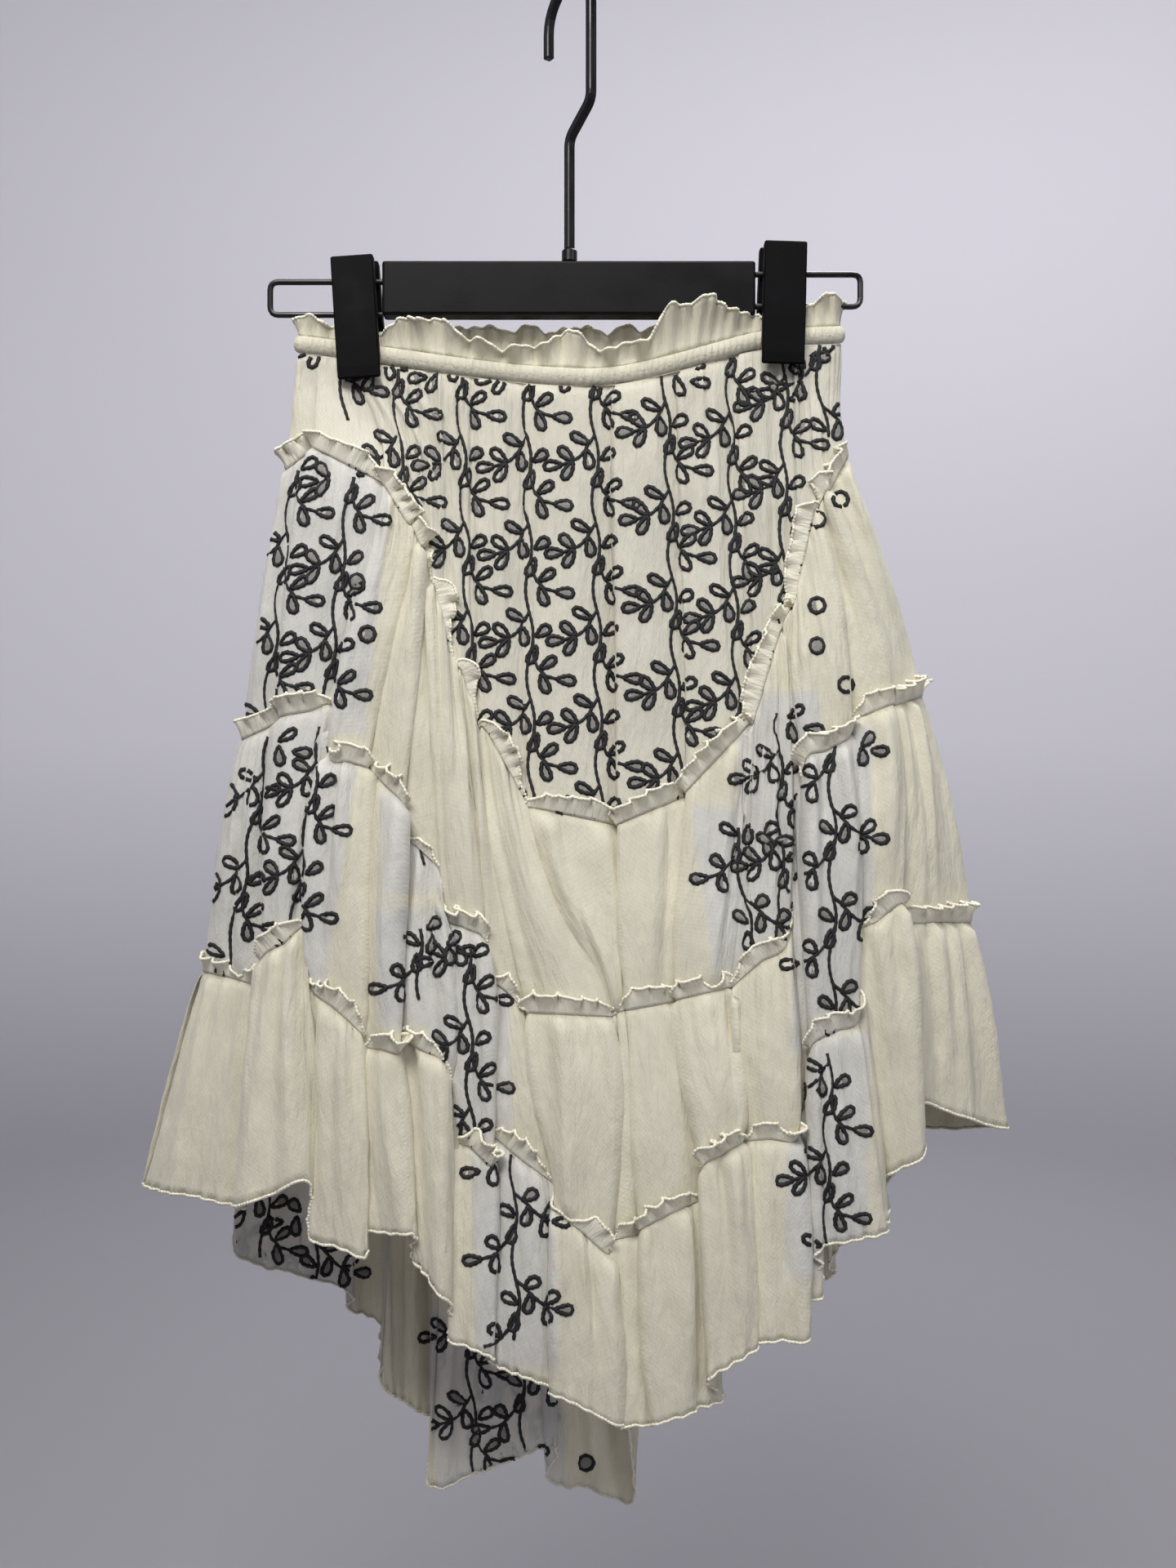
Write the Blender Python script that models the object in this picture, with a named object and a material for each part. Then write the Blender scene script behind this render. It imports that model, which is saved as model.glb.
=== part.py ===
"""A tiered, gathered skirt that hangs from a clip hanger.

The cloth is four tiers, each a thin wall in a front and a back piece. Their folds are the rows of
two tables. A row says where a fold runs at the waist, at the three tier seams and at the hem, how
far the piece on its left lies in front of the piece on its right, and how low the seams are on
either side of it. The tables are written as the skirt looks from straight in front, in the plane
of the hanger, and seen_to_real() moves each point to its real place before or behind that plane.
Lengths are in millimetres, and become metres where a mesh is made. +X is on the right as seen
from in front, -Y is the front, and the origin is the seat of the hook on its rail.
"""

import math
from collections import namedtuple

import bmesh
import bpy
import numpy as np
from mathutils import Vector
from mathutils.bvhtree import BVHTree

MM = 0.001
GAP = 0.3

# The place of the eye that the fold tables are seen from
EYE_X = 11.0
EYE_Z = -474.0
EYE_DISTANCE = 850.0

FRONT = 1
BACK = -1
SIDE_NAMES = {FRONT: "front", BACK: "back"}

# Tiers
WALL = 1.2
TIER_NAMES = ("yoke", "tier_2", "tier_3", "tier_4")
TIERS = len(TIER_NAMES)
TIER_ROWS = (4, 3, 3, 3)
TIER_PUFF = (0.0, 3.0, 3.0, 2.0)
DEPTH_AT_LEVEL = (12.0, 23.0, 40.0, 54.0, 64.0)
SECTIONS_A_TIER = 4
SEAM_GAP = 0.6
ROUNDNESS = 2.2
CROWN_SHARE = 0.08
CROWN_MOST = 5.0
TUCK_SHARE = 0.9
ROOM_SHARE = 0.35
TUCK_START = 7.0
COLUMN_STEP = 19.0
MOST_COLUMNS = 2
POINTS_A_FOLD = 3
SLOPE_STEP = 0.03
STEEPEST_SEAM = 6.0

# Waist, with the elastic tube and the frill above it
CASING_HEIGHT = 10.0
CASING_THICKNESS = 5.0
CASING_SIDES = 8
CASING_GAP = 0.65
WAIST_HALF_WIDTH = 160.5
WAIST_DEPTH = 12.0
CLIPPED_DEPTH = 3.0
CLIPPED_FROM = 110.0
WAIST_OPENS_OVER = 45.0
CASING_STEP = 11.0
WAIST_SOFTENING = (-14.0, -7.0, 0.0, 7.0, 14.0)
SIDE_TURN_STEPS = 3
FRILL_THICKNESS = 1.0
WAIST_FRILL_STEP = 4.6
WAIST_WAVE_LENGTH = 18.5
WAIST_FRILL_ROWS = 2

# Frills that stand out of the tier seams
SEAM_FRILL_LENGTH = 9.0
SEAM_FRILL_LIFT = math.radians(38)
SEAM_FRILL_STEP = 10.0
SEAM_WAVE_COLUMNS = 4
SEAM_WAVE_HEIGHT = 2.4
SEAM_FRILL_SPARE_LENGTH = 0.7
SEAM_FRILL_SPARE_WIDTH = 1.4
SEAM_FRILL_SHORTER = 0.8
SEAM_FRILL_LEAST = 0.12
SEAM_FRILL_FITTINGS = 40
SHORTEST_STRETCH = 25.0
LEAST_TIP_SHARE = 0.25
SHARPEST_TURN = 0.45

# Hanger
ROD = 5.0
ROD_EDGE = 0.6
HOOK_INNER_RADIUS = 19.8
HOOK_TURN = math.radians(55)
HOOK_TIP_DROP = 34.5
HOOK_JOG_TOP = 76.0
HOOK_JOG_BOTTOM = 91.0
HOOK_JOG_ROUNDING = 5.0
STEM_END = 156.7
ARCH_STEPS = 16
COLLAR_RADIUS = 4.6
COLLAR_TOP = 157.0
BAR_LEFT = -110.6
BAR_RIGHT = 109.9
BAR_TOP = 165.0
BAR_BOTTOM = 197.0
BAR_THICKNESS = 12.0
BAR_EDGE = 1.6
WIRE_DIAMETER = 3.5
WIRE_CORNER = 5.0
JAW_WIDTH = 25.0
JAW_EDGE = 0.8
REAR_JAW_EXTRA = 1.5
PIN_RADIUS = 1.75
PIN_LENGTH = 21.0
ROUND_SIDES = 20

# across: x at the waist, seams 1 to 3 and the hem; lap: how far the piece on the left lies in
# front of the one on the right there; left and right: drop of seams 1 to 3 and of the hem
Fold = namedtuple("Fold", "name across lap left right")

FRONT_FOLDS = (
    Fold("left_side", (-160, -168, -194, -217, -252), (0, 0, 0, 0, 0),
         (288, 448, 585, 712), (288, 448, 585, 712)),
    Fold("band", (-146, -151, -171, -182, -193), (-1, -6, -9, -9, -8),
         (275, 436, 594, 726), (275, 434, 577, 724)),
    Fold("long", (-126, -110, -142, -154, -156), (0, -5, -9, -4, 5),
         (295, 428, 560, 710), (297, 458, 594, 742)),
    Fold("crease", (-109, -96, -121, -124, -120), (0, 3, 4, 7, 11),
         (319, 464, 622, 756), (320, 465, 629, 740)),
    Fold("sprig", (-99, -88, -99, -101, -92), (0, 4, 10, 12, 10),
         (333, 486, 634, 742), (334, 499, 621, 753)),
    Fold("ridge_left", (-86, -81, -74, -73, -72), (0, -2, -4, 4, 7),
         (355, 527, 642, 782), (356, 553, 680, 802)),
    Fold("ridge_right", (-71, -66, -51, -46, -46), (-1, -2, 5, 10, 7),
         (404, 566, 701, 815), (406, 586, 682, 818)),
    Fold("centre", (-52, -51, -23, -9, -6), (-2, -3, -3, -8, -9),
         (440, 609, 713, 834), (441, 610, 726, 837)),
    Fold("pleat_left", (-24, -22, 22, 22, 27), (-2, -3, 2, 6, 4),
         (486, 612, 753, 854), (488, 612, 746, 855)),
    Fold("pleat_middle", (28, 29, 36, 43, 50), (-3, -9, -3, -9, -4),
         (499, 608, 740, 855), (498, 608, 738, 854)),
    Fold("pleat_right", (67, 70, 65, 80, 84), (-3, -8, -5, -13, -15),
         (480, 603, 716, 839), (478, 602, 701, 828)),
    Fold("panel", (101, 109, 94, 102, 111), (-2, -3, 3, 7, 7),
         (439, 595, 687, 808), (437, 594, 686, 804)),
    Fold("gully_left", (120, 125, 130, 135, 138), (0, 2, 10, 12, 10),
         (386, 566, 684, 804), (382, 513, 654, 785)),
    Fold("gully_right", (130, 133, 140, 144, 149), (0, -2, -10, -12, -9),
         (370, 508, 651, 775), (368, 462, 630, 751)),
    Fold("band_right", (139, 146, 166, 172, 188), (0, 3, 10, 11, 12),
         (312, 446, 612, 738), (310, 438, 566, 712)),
    Fold("last", (150, 153, 191, 197, 209), (0, 3, 4, 7, 9),
         (300, 427, 545, 693), (299, 427, 556, 664)),
    Fold("right_side", (161, 165, 209, 238, 255), (0, 0, 0, 0, 0),
         (280, 422, 556, 678), (280, 422, 556, 678)),
)

BACK_FOLDS = (
    Fold("left_side", (-160, -168, -194, -217, -252), (0, 0, 0, 0, 0),
         (288, 448, 585, 712), (288, 448, 585, 712)),
    Fold("left_tail", (-134, -137, -167, -184, -196), (1, 4, 8, 8, 8),
         (273, 430, 581, 724), (273, 432, 586, 753)),
    Fold("left_gap", (-105, -110, -129, -132, -132), (-1, -4, -8, -9, -8),
         (300, 448, 598, 776), (302, 460, 610, 785)),
    Fold("step", (-81, -76, -86, -105, -110), (1, 5, 8, 10, 10),
         (343, 484, 634, 797), (348, 499, 649, 828)),
    Fold("point_left", (-47, -42, -57, -74, -80), (2, 5, 8, 10, 10),
         (421, 552, 688, 857), (431, 566, 707, 892)),
    Fold("point_right", (-3, -3, -3, -8, -11), (-1, -5, -8, -10, -10),
         (489, 610, 756, 868), (494, 613, 763, 888)),
    Fold("tail_right", (40, 50, 45, 40, 38), (2, 6, 9, 10, 12),
         (496, 613, 765, 899), (494, 608, 736, 833)),
    Fold("slope", (79, 89, 89, 94, 98), (-1, -5, -8, -9, -9),
         (469, 586, 697, 804), (465, 581, 693, 794)),
    Fold("right_tail", (113, 128, 137, 147, 157), (1, 5, 9, 10, 10),
         (387, 513, 654, 765), (382, 508, 639, 758)),
    Fold("last", (142, 149, 181, 191, 200), (-1, -4, -6, -8, -8),
         (305, 440, 566, 693), (302, 438, 564, 680)),
    Fold("right_side", (161, 165, 209, 238, 255), (0, 0, 0, 0, 0),
         (280, 422, 556, 678), (280, 422, 556, 678)),
)

# Drop of the middle of the waist casing along x
WaistPoint = namedtuple("WaistPoint", "x front back")
WAIST_LINE = (
    WaistPoint(-165, 212, 212),
    WaistPoint(-127, 217, 217),
    WaistPoint(-100, 221, 219),
    WaistPoint(-66, 226, 222),
    WaistPoint(-23, 231, 225),
    WaistPoint(20, 233, 225),
    WaistPoint(51, 227, 221),
    WaistPoint(87, 217, 214),
    WaistPoint(115, 209, 209),
    WaistPoint(165, 207, 207),
)

# height: top of the waist frill above the middle of the casing; lean: how far the top leans out;
# wave: half the swing of its waves
Ruffle = namedtuple("Ruffle", "x height lean wave")
FRONT_RUFFLES = (
    Ruffle(-161, 11, 1.0, 0.0),
    Ruffle(-152, 19, 5.0, 1.5),
    Ruffle(-141, 12, 0.5, 0.0),
    Ruffle(-110, 12, 0.5, 0.0),
    Ruffle(-101, 20, 5.0, 2.0),
    Ruffle(-88, 25, 7.0, 3.0),
    Ruffle(-70, 22, 6.0, 3.0),
    Ruffle(-55, 13, 6.0, 3.0),
    Ruffle(-20, 13, 5.0, 3.0),
    Ruffle(-3, 28, 4.0, 3.0),
    Ruffle(14, 15, 5.0, 3.0),
    Ruffle(46, 15, 6.0, 3.0),
    Ruffle(60, 33, 8.0, 3.0),
    Ruffle(82, 30, 9.0, 3.0),
    Ruffle(98, 20, 6.0, 2.0),
    Ruffle(110, 12, 0.5, 0.0),
    Ruffle(141, 12, 0.5, 0.0),
    Ruffle(150, 27, 7.0, 1.5),
    Ruffle(157, 25, 7.0, 1.0),
    Ruffle(161, 12, 1.0, 0.0),
)
BACK_RUFFLES = (
    Ruffle(-161, 11, 1.0, 0.0),
    Ruffle(-152, 18, 5.0, 1.5),
    Ruffle(-141, 12, 0.5, 0.0),
    Ruffle(-110, 12, 0.5, 0.0),
    Ruffle(-90, 20, 3.0, 3.0),
    Ruffle(0, 22, 3.0, 3.5),
    Ruffle(60, 19, 3.0, 3.0),
    Ruffle(90, 13, 2.0, 2.0),
    Ruffle(110, 12, 0.5, 0.0),
    Ruffle(141, 12, 0.5, 0.0),
    Ruffle(152, 19, 5.0, 1.5),
    Ruffle(161, 12, 1.0, 0.0),
)

# x: middle of the clip at the waist; grip: drop of the waist there; tilt: turn of its top to the
# right; outward: which way its wire loop points; loop_end: x of the loop's far run; upper, lower:
# drops of the loop's two runs
Clip = namedtuple("Clip", "name x grip tilt outward loop_end upper lower")
CLIPS = (
    Clip("left", -124.2, 217.0, math.radians(-4.1), -1, -177.7, 176.0, 195.5),
    Clip("right", 125.7, 208.6, math.radians(1.9), 1, 172.7, 171.5, 190.5),
)

# Outline of a jaw seen from the side: depth out from the middle, height above the waist's middle
JawPoint = namedtuple("JawPoint", "depth height")
JAW_OUTLINE = (
    JawPoint(11.2, -19.5),
    JawPoint(14.0, -19.5),
    JawPoint(14.0, -13.0),
    JawPoint(12.2, 20.0),
    JawPoint(9.5, 54.0),
    JawPoint(2.1, 54.0),
    JawPoint(2.1, 18.5),
    JawPoint(5.9, 16.5),
    JawPoint(5.9, -6.5),
    JawPoint(11.2, -11.0),
)

# colour, roughness, metallic
FINISHES = {
    "cream_mesh": ((0.76, 0.69, 0.53), 0.85, 0.0),
    "cream_edge": ((0.82, 0.76, 0.60), 0.80, 0.0),
    "black_satin": ((0.012, 0.012, 0.013), 0.38, 0.0),
    "black_wire": ((0.015, 0.015, 0.016), 0.32, 0.6),
}


def clear_scene():
    for thing in list(bpy.data.objects):
        bpy.data.objects.remove(thing, do_unlink=True)


def material(name):
    found = bpy.data.materials.get(name)
    if found:
        return found
    colour, roughness, metallic = FINISHES[name]
    made = bpy.data.materials.new(name)
    made.use_nodes = True
    made.diffuse_color = (*colour, 1.0)
    shader = made.node_tree.nodes["Principled BSDF"]
    shader.inputs["Base Color"].default_value = (*colour, 1.0)
    shader.inputs["Roughness"].default_value = roughness
    shader.inputs["Metallic"].default_value = metallic
    return made


def add_object(name, data, finish):
    data.materials.append(material(finish))
    thing = bpy.data.objects.new(name, data)
    bpy.context.scene.collection.objects.link(thing)
    return thing


def mesh_object(name, points, faces, finish, outward_known=True):
    """One object from points in millimetres, shaded smooth but for its sharp edges."""
    mesh = bpy.data.meshes.new(name)
    mesh.from_pydata([Vector(point) * MM for point in points], [], faces)
    if not outward_known:
        shape = bmesh.new()
        shape.from_mesh(mesh)
        bmesh.ops.recalc_face_normals(shape, faces=shape.faces)
        shape.to_mesh(mesh)
        shape.free()
    mesh.shade_smooth()
    mesh.set_sharp_from_angle(angle=math.radians(50))
    return add_object(name, mesh, finish)


def round_edges(thing, width, segments):
    bevel = thing.modifiers.new("Round edges", "BEVEL")
    bevel.width = width * MM
    bevel.segments = segments
    bevel.limit_method = "ANGLE"
    bevel.angle_limit = math.radians(40)


def seen_to_real(x, drop, y):
    """The real place of a point at depth y that is seen at x and drop."""
    scale = (EYE_DISTANCE + y) / EYE_DISTANCE
    return (EYE_X + (x - EYE_X) * scale, y, EYE_Z + (-drop - EYE_Z) * scale)


def unit(vectors):
    return vectors / np.linalg.norm(vectors, axis=-1, keepdims=True)


def ease(share):
    """From 0 to 1 with level ends."""
    share = np.clip(share, 0.0, 1.0)
    return share * share * (3.0 - 2.0 * share)


# The waist


def waist_depth(x):
    """Half the thickness of the waist: flat at the clips and outside them, open between."""
    opening = ease((CLIPPED_FROM - np.abs(x)) / WAIST_OPENS_OVER)
    return CLIPPED_DEPTH + (WAIST_DEPTH - CLIPPED_DEPTH) * opening


def waist_drop(x, side):
    across = [point.x for point in WAIST_LINE]
    drops = [point.front if side == FRONT else point.back for point in WAIST_LINE]
    return sum(np.interp(x + step, across, drops) for step in WAIST_SOFTENING) / len(WAIST_SOFTENING)


def waist_path(side, step):
    """The middle line of one half of the casing, its ways out, and x as seen, seam to seam."""
    radius = CLIPPED_DEPTH - GAP / 2
    straight = WAIST_HALF_WIDTH - radius
    turn = np.linspace(0.0, math.pi / 2, SIDE_TURN_STEPS + 1)
    steps = round(2 * straight / step)
    x_inner = np.linspace(-straight, straight, steps + 1)[1:-1]
    slope = (waist_depth(x_inner + 1.0) - waist_depth(x_inner - 1.0)) / 2.0
    x = np.concatenate([-straight - radius * np.cos(turn), x_inner, straight + radius * np.cos(turn[::-1])])
    depth = np.concatenate(
        [GAP / 2 + radius * np.sin(turn), waist_depth(x_inner), GAP / 2 + radius * np.sin(turn[::-1])]
    )
    out_x = np.concatenate([-np.cos(turn), -slope, np.cos(turn[::-1])])
    out_depth = np.concatenate([np.sin(turn), np.ones_like(slope), np.sin(turn[::-1])])
    middle = np.array(
        [seen_to_real(a, waist_drop(a, side), -side * b) for a, b in zip(x, depth)]
    )
    outward = unit(np.stack([out_x, -side * out_depth, np.zeros_like(out_x)], axis=1))
    return middle, outward, x


def ring_faces(count, ring, side):
    """Faces of a closed tube of count rings, with its two caps."""
    faces = [tuple(range(ring)), tuple(reversed(range((count - 1) * ring, count * ring)))]
    for row in range(count - 1):
        for k in range(ring):
            after = (k + 1) % ring
            faces.append(
                (row * ring + k, (row + 1) * ring + k, (row + 1) * ring + after, row * ring + after)
            )
    return faces if side == FRONT else [tuple(reversed(face)) for face in faces]


def make_casing(side):
    """Half of the narrow tube that holds the elastic."""
    middle, outward, _ = waist_path(side, CASING_STEP)
    angles = np.arange(CASING_SIDES) * 2 * math.pi / CASING_SIDES
    out = outward[:, None] * np.cos(angles)[None, :, None] * CASING_THICKNESS / 2
    up = np.array([0.0, 0.0, 1.0]) * np.sin(angles)[None, :, None] * CASING_HEIGHT / 2
    points = (middle[:, None] + out + up).reshape(-1, 3)
    faces = ring_faces(len(middle), CASING_SIDES, side)
    mesh_object(f"waist_casing_{SIDE_NAMES[side]}", points, faces, "cream_mesh")


def shell_faces(rows, columns, side):
    """Triangles of a closed wall whose outer grid comes first and whose inner grid comes second."""
    inner = rows * columns
    faces = []
    for i in range(rows - 1):
        for j in range(columns - 1):
            a, b = i * columns + j, (i + 1) * columns + j
            faces.append((a, b, b + 1, a + 1))
            faces.append((inner + a, inner + a + 1, inner + b + 1, inner + b))
    last = (rows - 1) * columns
    for j in range(columns - 1):
        faces.append((j, j + 1, inner + j + 1, inner + j))
        faces.append((last + j, inner + last + j, inner + last + j + 1, last + j + 1))
    for i in range(rows - 1):
        a, b = i * columns, (i + 1) * columns
        faces.append((a, inner + a, inner + b, b))
        a, b = a + columns - 1, b + columns - 1
        faces.append((a, b, inner + b, inner + a))
    halves = [half for a, b, c, d in faces for half in ((a, b, c), (a, c, d))]
    return halves if side == FRONT else [tuple(reversed(half)) for half in halves]


def make_waist_frill(side):
    """Half of the frill that stands above the casing."""
    middle, outward, x = waist_path(side, WAIST_FRILL_STEP)
    ruffles = FRONT_RUFFLES if side == FRONT else BACK_RUFFLES
    across = [ruffle.x for ruffle in ruffles]
    height = np.interp(x, across, [ruffle.height for ruffle in ruffles])
    lean = np.interp(x, across, [ruffle.lean for ruffle in ruffles])
    wave = np.interp(x, across, [ruffle.wave for ruffle in ruffles])
    swing = wave * np.sin(x * 2 * math.pi / WAIST_WAVE_LENGTH)
    root = CASING_HEIGHT / 2 + CASING_GAP
    sheet = []
    for share in np.linspace(0.0, 1.0, WAIST_FRILL_ROWS + 1)[::-1]:
        rise = root + (height - root) * share
        out = lean * share**2 + swing * share
        sheet.append(middle + outward * out[:, None] + rise[:, None] * np.array([0.0, 0.0, 1.0]))
    sheet = np.array(sheet)
    outer = sheet + outward * FRILL_THICKNESS / 2
    inner = sheet - outward * FRILL_THICKNESS / 2
    points = np.concatenate([outer.reshape(-1, 3), inner.reshape(-1, 3)])
    faces = shell_faces(len(sheet), len(middle), side)
    mesh_object(f"waist_frill_{SIDE_NAMES[side]}", points, faces, "cream_edge")


# The tiers


def blend(a, b, c, d, share):
    """A smooth curve from b to c, with a before them and d after them."""
    return 0.5 * (
        2 * b
        + (c - a) * share
        + (2 * a - 5 * b + 4 * c - d) * share**2
        + (3 * b - a - 3 * c + d) * share**3
    )


def at_level(values, t):
    """A value given at the waist, the seams and the hem, read anywhere between them."""
    row = [2 * values[0] - values[1], *values, 2 * values[-1] - values[-2]]
    level = min(int(t), TIERS - 1)
    return blend(*row[level : level + 4], t - level)


def half_depth(x, t, folds):
    """Half the thickness of the skirt at t, round at the sides."""
    left = at_level(folds[0].across, t)
    right = at_level(folds[-1].across, t)
    off_centre = abs(x - (left + right) / 2) / ((right - left) / 2)
    share = max(0.0, 1.0 - off_centre**ROUNDNESS) ** (1.0 / ROUNDNESS)
    body = at_level(DEPTH_AT_LEVEL, t) * share
    below_waist = min(t, 1.0)
    return body * below_waist + float(waist_depth(x)) * (1.0 - below_waist)


def waist_top(x, side):
    """Drop of the upper edge of the yoke."""
    return float(waist_drop(x, side)) + CASING_HEIGHT / 2 + CASING_GAP


def fold_ends(folds, number, t, side):
    """Where the piece left of a fold ends, and where the piece right of it starts.

    Under a lap deeper than TUCK_START the hidden piece runs on behind the one in front. Under a
    shallower one they stand apart, where the next folds leave room.
    """
    fold = folds[number]
    lap = at_level(fold.lap, t)
    x = at_level(fold.across, t)
    room = min(x - at_level(folds[number - 1].across, t), at_level(folds[number + 1].across, t) - x)
    tuck = TUCK_SHARE * max(abs(lap) - TUCK_START, -ROOM_SHARE * room)
    left_behind = float(ease(0.5 - lap / TUCK_START / 2))
    left_x = x + tuck * left_behind
    right_x = x - tuck * (1.0 - left_behind)
    left_drop = at_level((waist_top(left_x, side), *fold.left), t)
    right_drop = at_level((waist_top(right_x, side), *fold.right), t)
    depth = half_depth(x, t, folds)
    return (left_x, left_drop, depth + lap / 2), (right_x, right_drop, depth - lap / 2)


def crown_between(start, end, t, side):
    """The middle of the piece of cloth between two folds, which bellies out a little."""
    belly = min(CROWN_MOST, CROWN_SHARE * abs(end[0] - start[0]))
    x, drop, depth = ((a + b) / 2 for a, b in zip(start, end))
    if t == 0:
        return x, waist_top(x, side), float(waist_depth(x))
    return x, drop, depth + belly


def side_seam(fold, t, side):
    x = at_level(fold.across, t)
    return x, at_level((waist_top(x, side), *fold.left), t), GAP / 2


def cross_section(folds, t, side):
    """Points along one side of the skirt at t, with one more past each side seam."""
    start = side_seam(folds[0], t, side)
    seen = [start]
    for number in range(1, len(folds) - 1):
        left_end, right_start = fold_ends(folds, number, t, side)
        seen += [crown_between(start, left_end, t, side), left_end, right_start]
        start = right_start
    end = side_seam(folds[-1], t, side)
    seen += [crown_between(start, end, t, side), end]
    points = [seen_to_real(x, drop, -side * depth) for x, drop, depth in seen]
    before = (points[1][0], -points[1][1], points[1][2])
    after = (points[-2][0], -points[-2][1], points[-2][2])
    return [before, *points, after]


class Cloth:
    """One side of the skirt: u counts along the fold points, t goes from the waist to the hem."""

    def __init__(self, folds, side):
        self.folds = folds
        self.side = side
        levels = np.linspace(0.0, TIERS, TIERS * SECTIONS_A_TIER + 1)
        net = np.array([cross_section(folds, t, side) for t in levels])
        above = 2 * net[0] - net[1]
        below = 2 * net[-1] - net[-2]
        self.net = np.swapaxes(np.array([above, *net, below]), 0, 1)
        self.spans = len(self.net) - 3

    def plain(self, u, t):
        """Points for each u and for each row of t, before the tiers puff out."""
        first = np.clip(np.floor(u).astype(int), 0, self.spans - 1)
        share = (u - first)[:, None, None]
        columns = blend(*(self.net[first + k] for k in range(4)), share)
        section = t * SECTIONS_A_TIER
        level = np.clip(np.floor(section).astype(int), 0, TIERS * SECTIONS_A_TIER - 1)
        share = (section - level)[..., None]
        place = np.arange(len(u))
        return blend(*(columns[place, level + k] for k in range(4)), share)

    def outward(self, u, t):
        along = self.plain(np.minimum(u + SLOPE_STEP, self.spans), t)
        along = along - self.plain(np.maximum(u - SLOPE_STEP, 0), t)
        down = self.plain(u, np.minimum(t + SLOPE_STEP, TIERS))
        down = down - self.plain(u, np.maximum(t - SLOPE_STEP, 0))
        return unit(np.cross(down, along)) * self.side

    def sheet(self, u, t, tier):
        """Points of a tier, which puffs out between its seams."""
        puff = TIER_PUFF[tier] * np.sin(math.pi * np.clip(t - tier, 0.0, 1.0))
        return self.plain(u, t) + self.outward(u, t) * puff[..., None]

    def columns(self):
        """Places u for a mesh, more of them where the cloth between two fold points is long."""
        levels = self.net[1:-1, 1:-1]
        lengths = np.linalg.norm(np.diff(levels, axis=0), axis=2).max(axis=1)
        places = [0.0]
        for span, length in enumerate(lengths):
            in_fold = span % POINTS_A_FOLD == POINTS_A_FOLD - 1
            count = 1 if in_fold else int(np.clip(round(length / COLUMN_STEP), 1, MOST_COLUMNS))
            places += [span + (k + 1) / count for k in range(count)]
        return np.array(places)


def chord_pairs(line):
    """The chords before and after each point of a line."""
    chords = np.diff(line, axis=0)
    return np.concatenate([chords[:1], chords]), np.concatenate([chords, chords[-1:]])


def half_turns(line):
    """Cosine of half the turn at each point of a line."""
    before, after = (unit(chord) for chord in chord_pairs(line))
    return np.sqrt(np.clip((1 + (before * after).sum(axis=1)) / 2, SHARPEST_TURN**2, 1))


def seam_trim(cloth, u, seam):
    """Half a gap beside a seam at each column, as a step of t.

    It is longer where the seam runs steeply and where the cloth turns sharply.
    """
    t = np.full((1, len(u)), float(seam))
    down = cloth.plain(u, t + SLOPE_STEP) - cloth.plain(u, t - SLOPE_STEP)
    down = down[0] / (2 * SLOPE_STEP)
    line = cloth.plain(u, t)[0]
    before, after = chord_pairs(line)
    apart = [np.linalg.norm(np.cross(unit(chord), down), axis=1) for chord in (before, after)]
    return SEAM_GAP / 2 / np.maximum(np.minimum(*apart), STEEPEST_SEAM) / half_turns(line) ** 2


def wall_offsets(cloth, u, t):
    """Steps from the middle of the wall to its outer face, square to the chords on either side."""
    rows = cloth.plain(u, t)
    down = cloth.plain(u, np.minimum(t + SLOPE_STEP, TIERS)) - cloth.plain(u, np.maximum(t - SLOPE_STEP, 0))
    chords = np.diff(rows, axis=1)
    before = np.concatenate([chords[:, :1], chords], axis=1)
    after = np.concatenate([chords, chords[:, -1:]], axis=1)
    before, after = (unit(np.cross(down, chord)) * cloth.side for chord in (before, after))
    middle = before + after
    short = np.linalg.norm(middle, axis=2, keepdims=True) / 2
    offsets = middle / 2 / np.maximum(short, SHARPEST_TURN) ** 2 * WALL / 2
    for end in (0, -1):
        offsets[:, end, 1] = 0.0
        offsets[:, end] = unit(offsets[:, end]) * WALL / 2
    return offsets


def make_tier(cloth, tier):
    """The wall of one tier on one side, half a gap short of its neighbours."""
    u = cloth.columns()
    above_seam = np.zeros(len(u)) if tier == 0 else seam_trim(cloth, u, tier)
    below_seam = np.zeros(len(u)) if tier == TIERS - 1 else seam_trim(cloth, u, tier + 1)
    start = tier + above_seam
    end = tier + 1 - below_seam
    t = start + (end - start) * np.linspace(0.0, 1.0, TIER_ROWS[tier] + 1)[:, None]
    sheet = cloth.sheet(u, t, tier)
    offsets = wall_offsets(cloth, u, t)
    for row, level in ((0, tier), (-1, tier + 1)):
        offsets[row] = wall_offsets(cloth, u, np.full((1, len(u)), float(level)))[0]
    outer = sheet + offsets
    inner = sheet - offsets
    points = np.concatenate([outer.reshape(-1, 3), inner.reshape(-1, 3)])
    faces = shell_faces(len(t), len(u), cloth.side)
    mesh_object(f"{TIER_NAMES[tier]}_{SIDE_NAMES[cloth.side]}", points, faces, "cream_mesh")
    return points, faces


def joined(walls):
    """One search tree over all the walls."""
    points, faces = [], []
    for wall_points, wall_faces in walls:
        start = len(points)
        points += [tuple(point) for point in wall_points]
        faces += [tuple(start + k for k in face) for face in wall_faces]
    return BVHTree.FromPolygons(points, faces)


def between_columns(values, counts):
    """Values at the columns and at even steps between them."""
    parts = [
        values[k] + (values[k + 1] - values[k]) * np.arange(count)[:, None] / count
        for k, count in enumerate(counts)
    ]
    return np.concatenate([*parts, values[-1:]])


def frill_points(root, reach, half, share):
    """The outer and the inner grid of a frill, each with its tip row and its root row."""
    tip = root + reach * share
    return np.concatenate([tip - half, root - half, tip + half, root + half])


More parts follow.
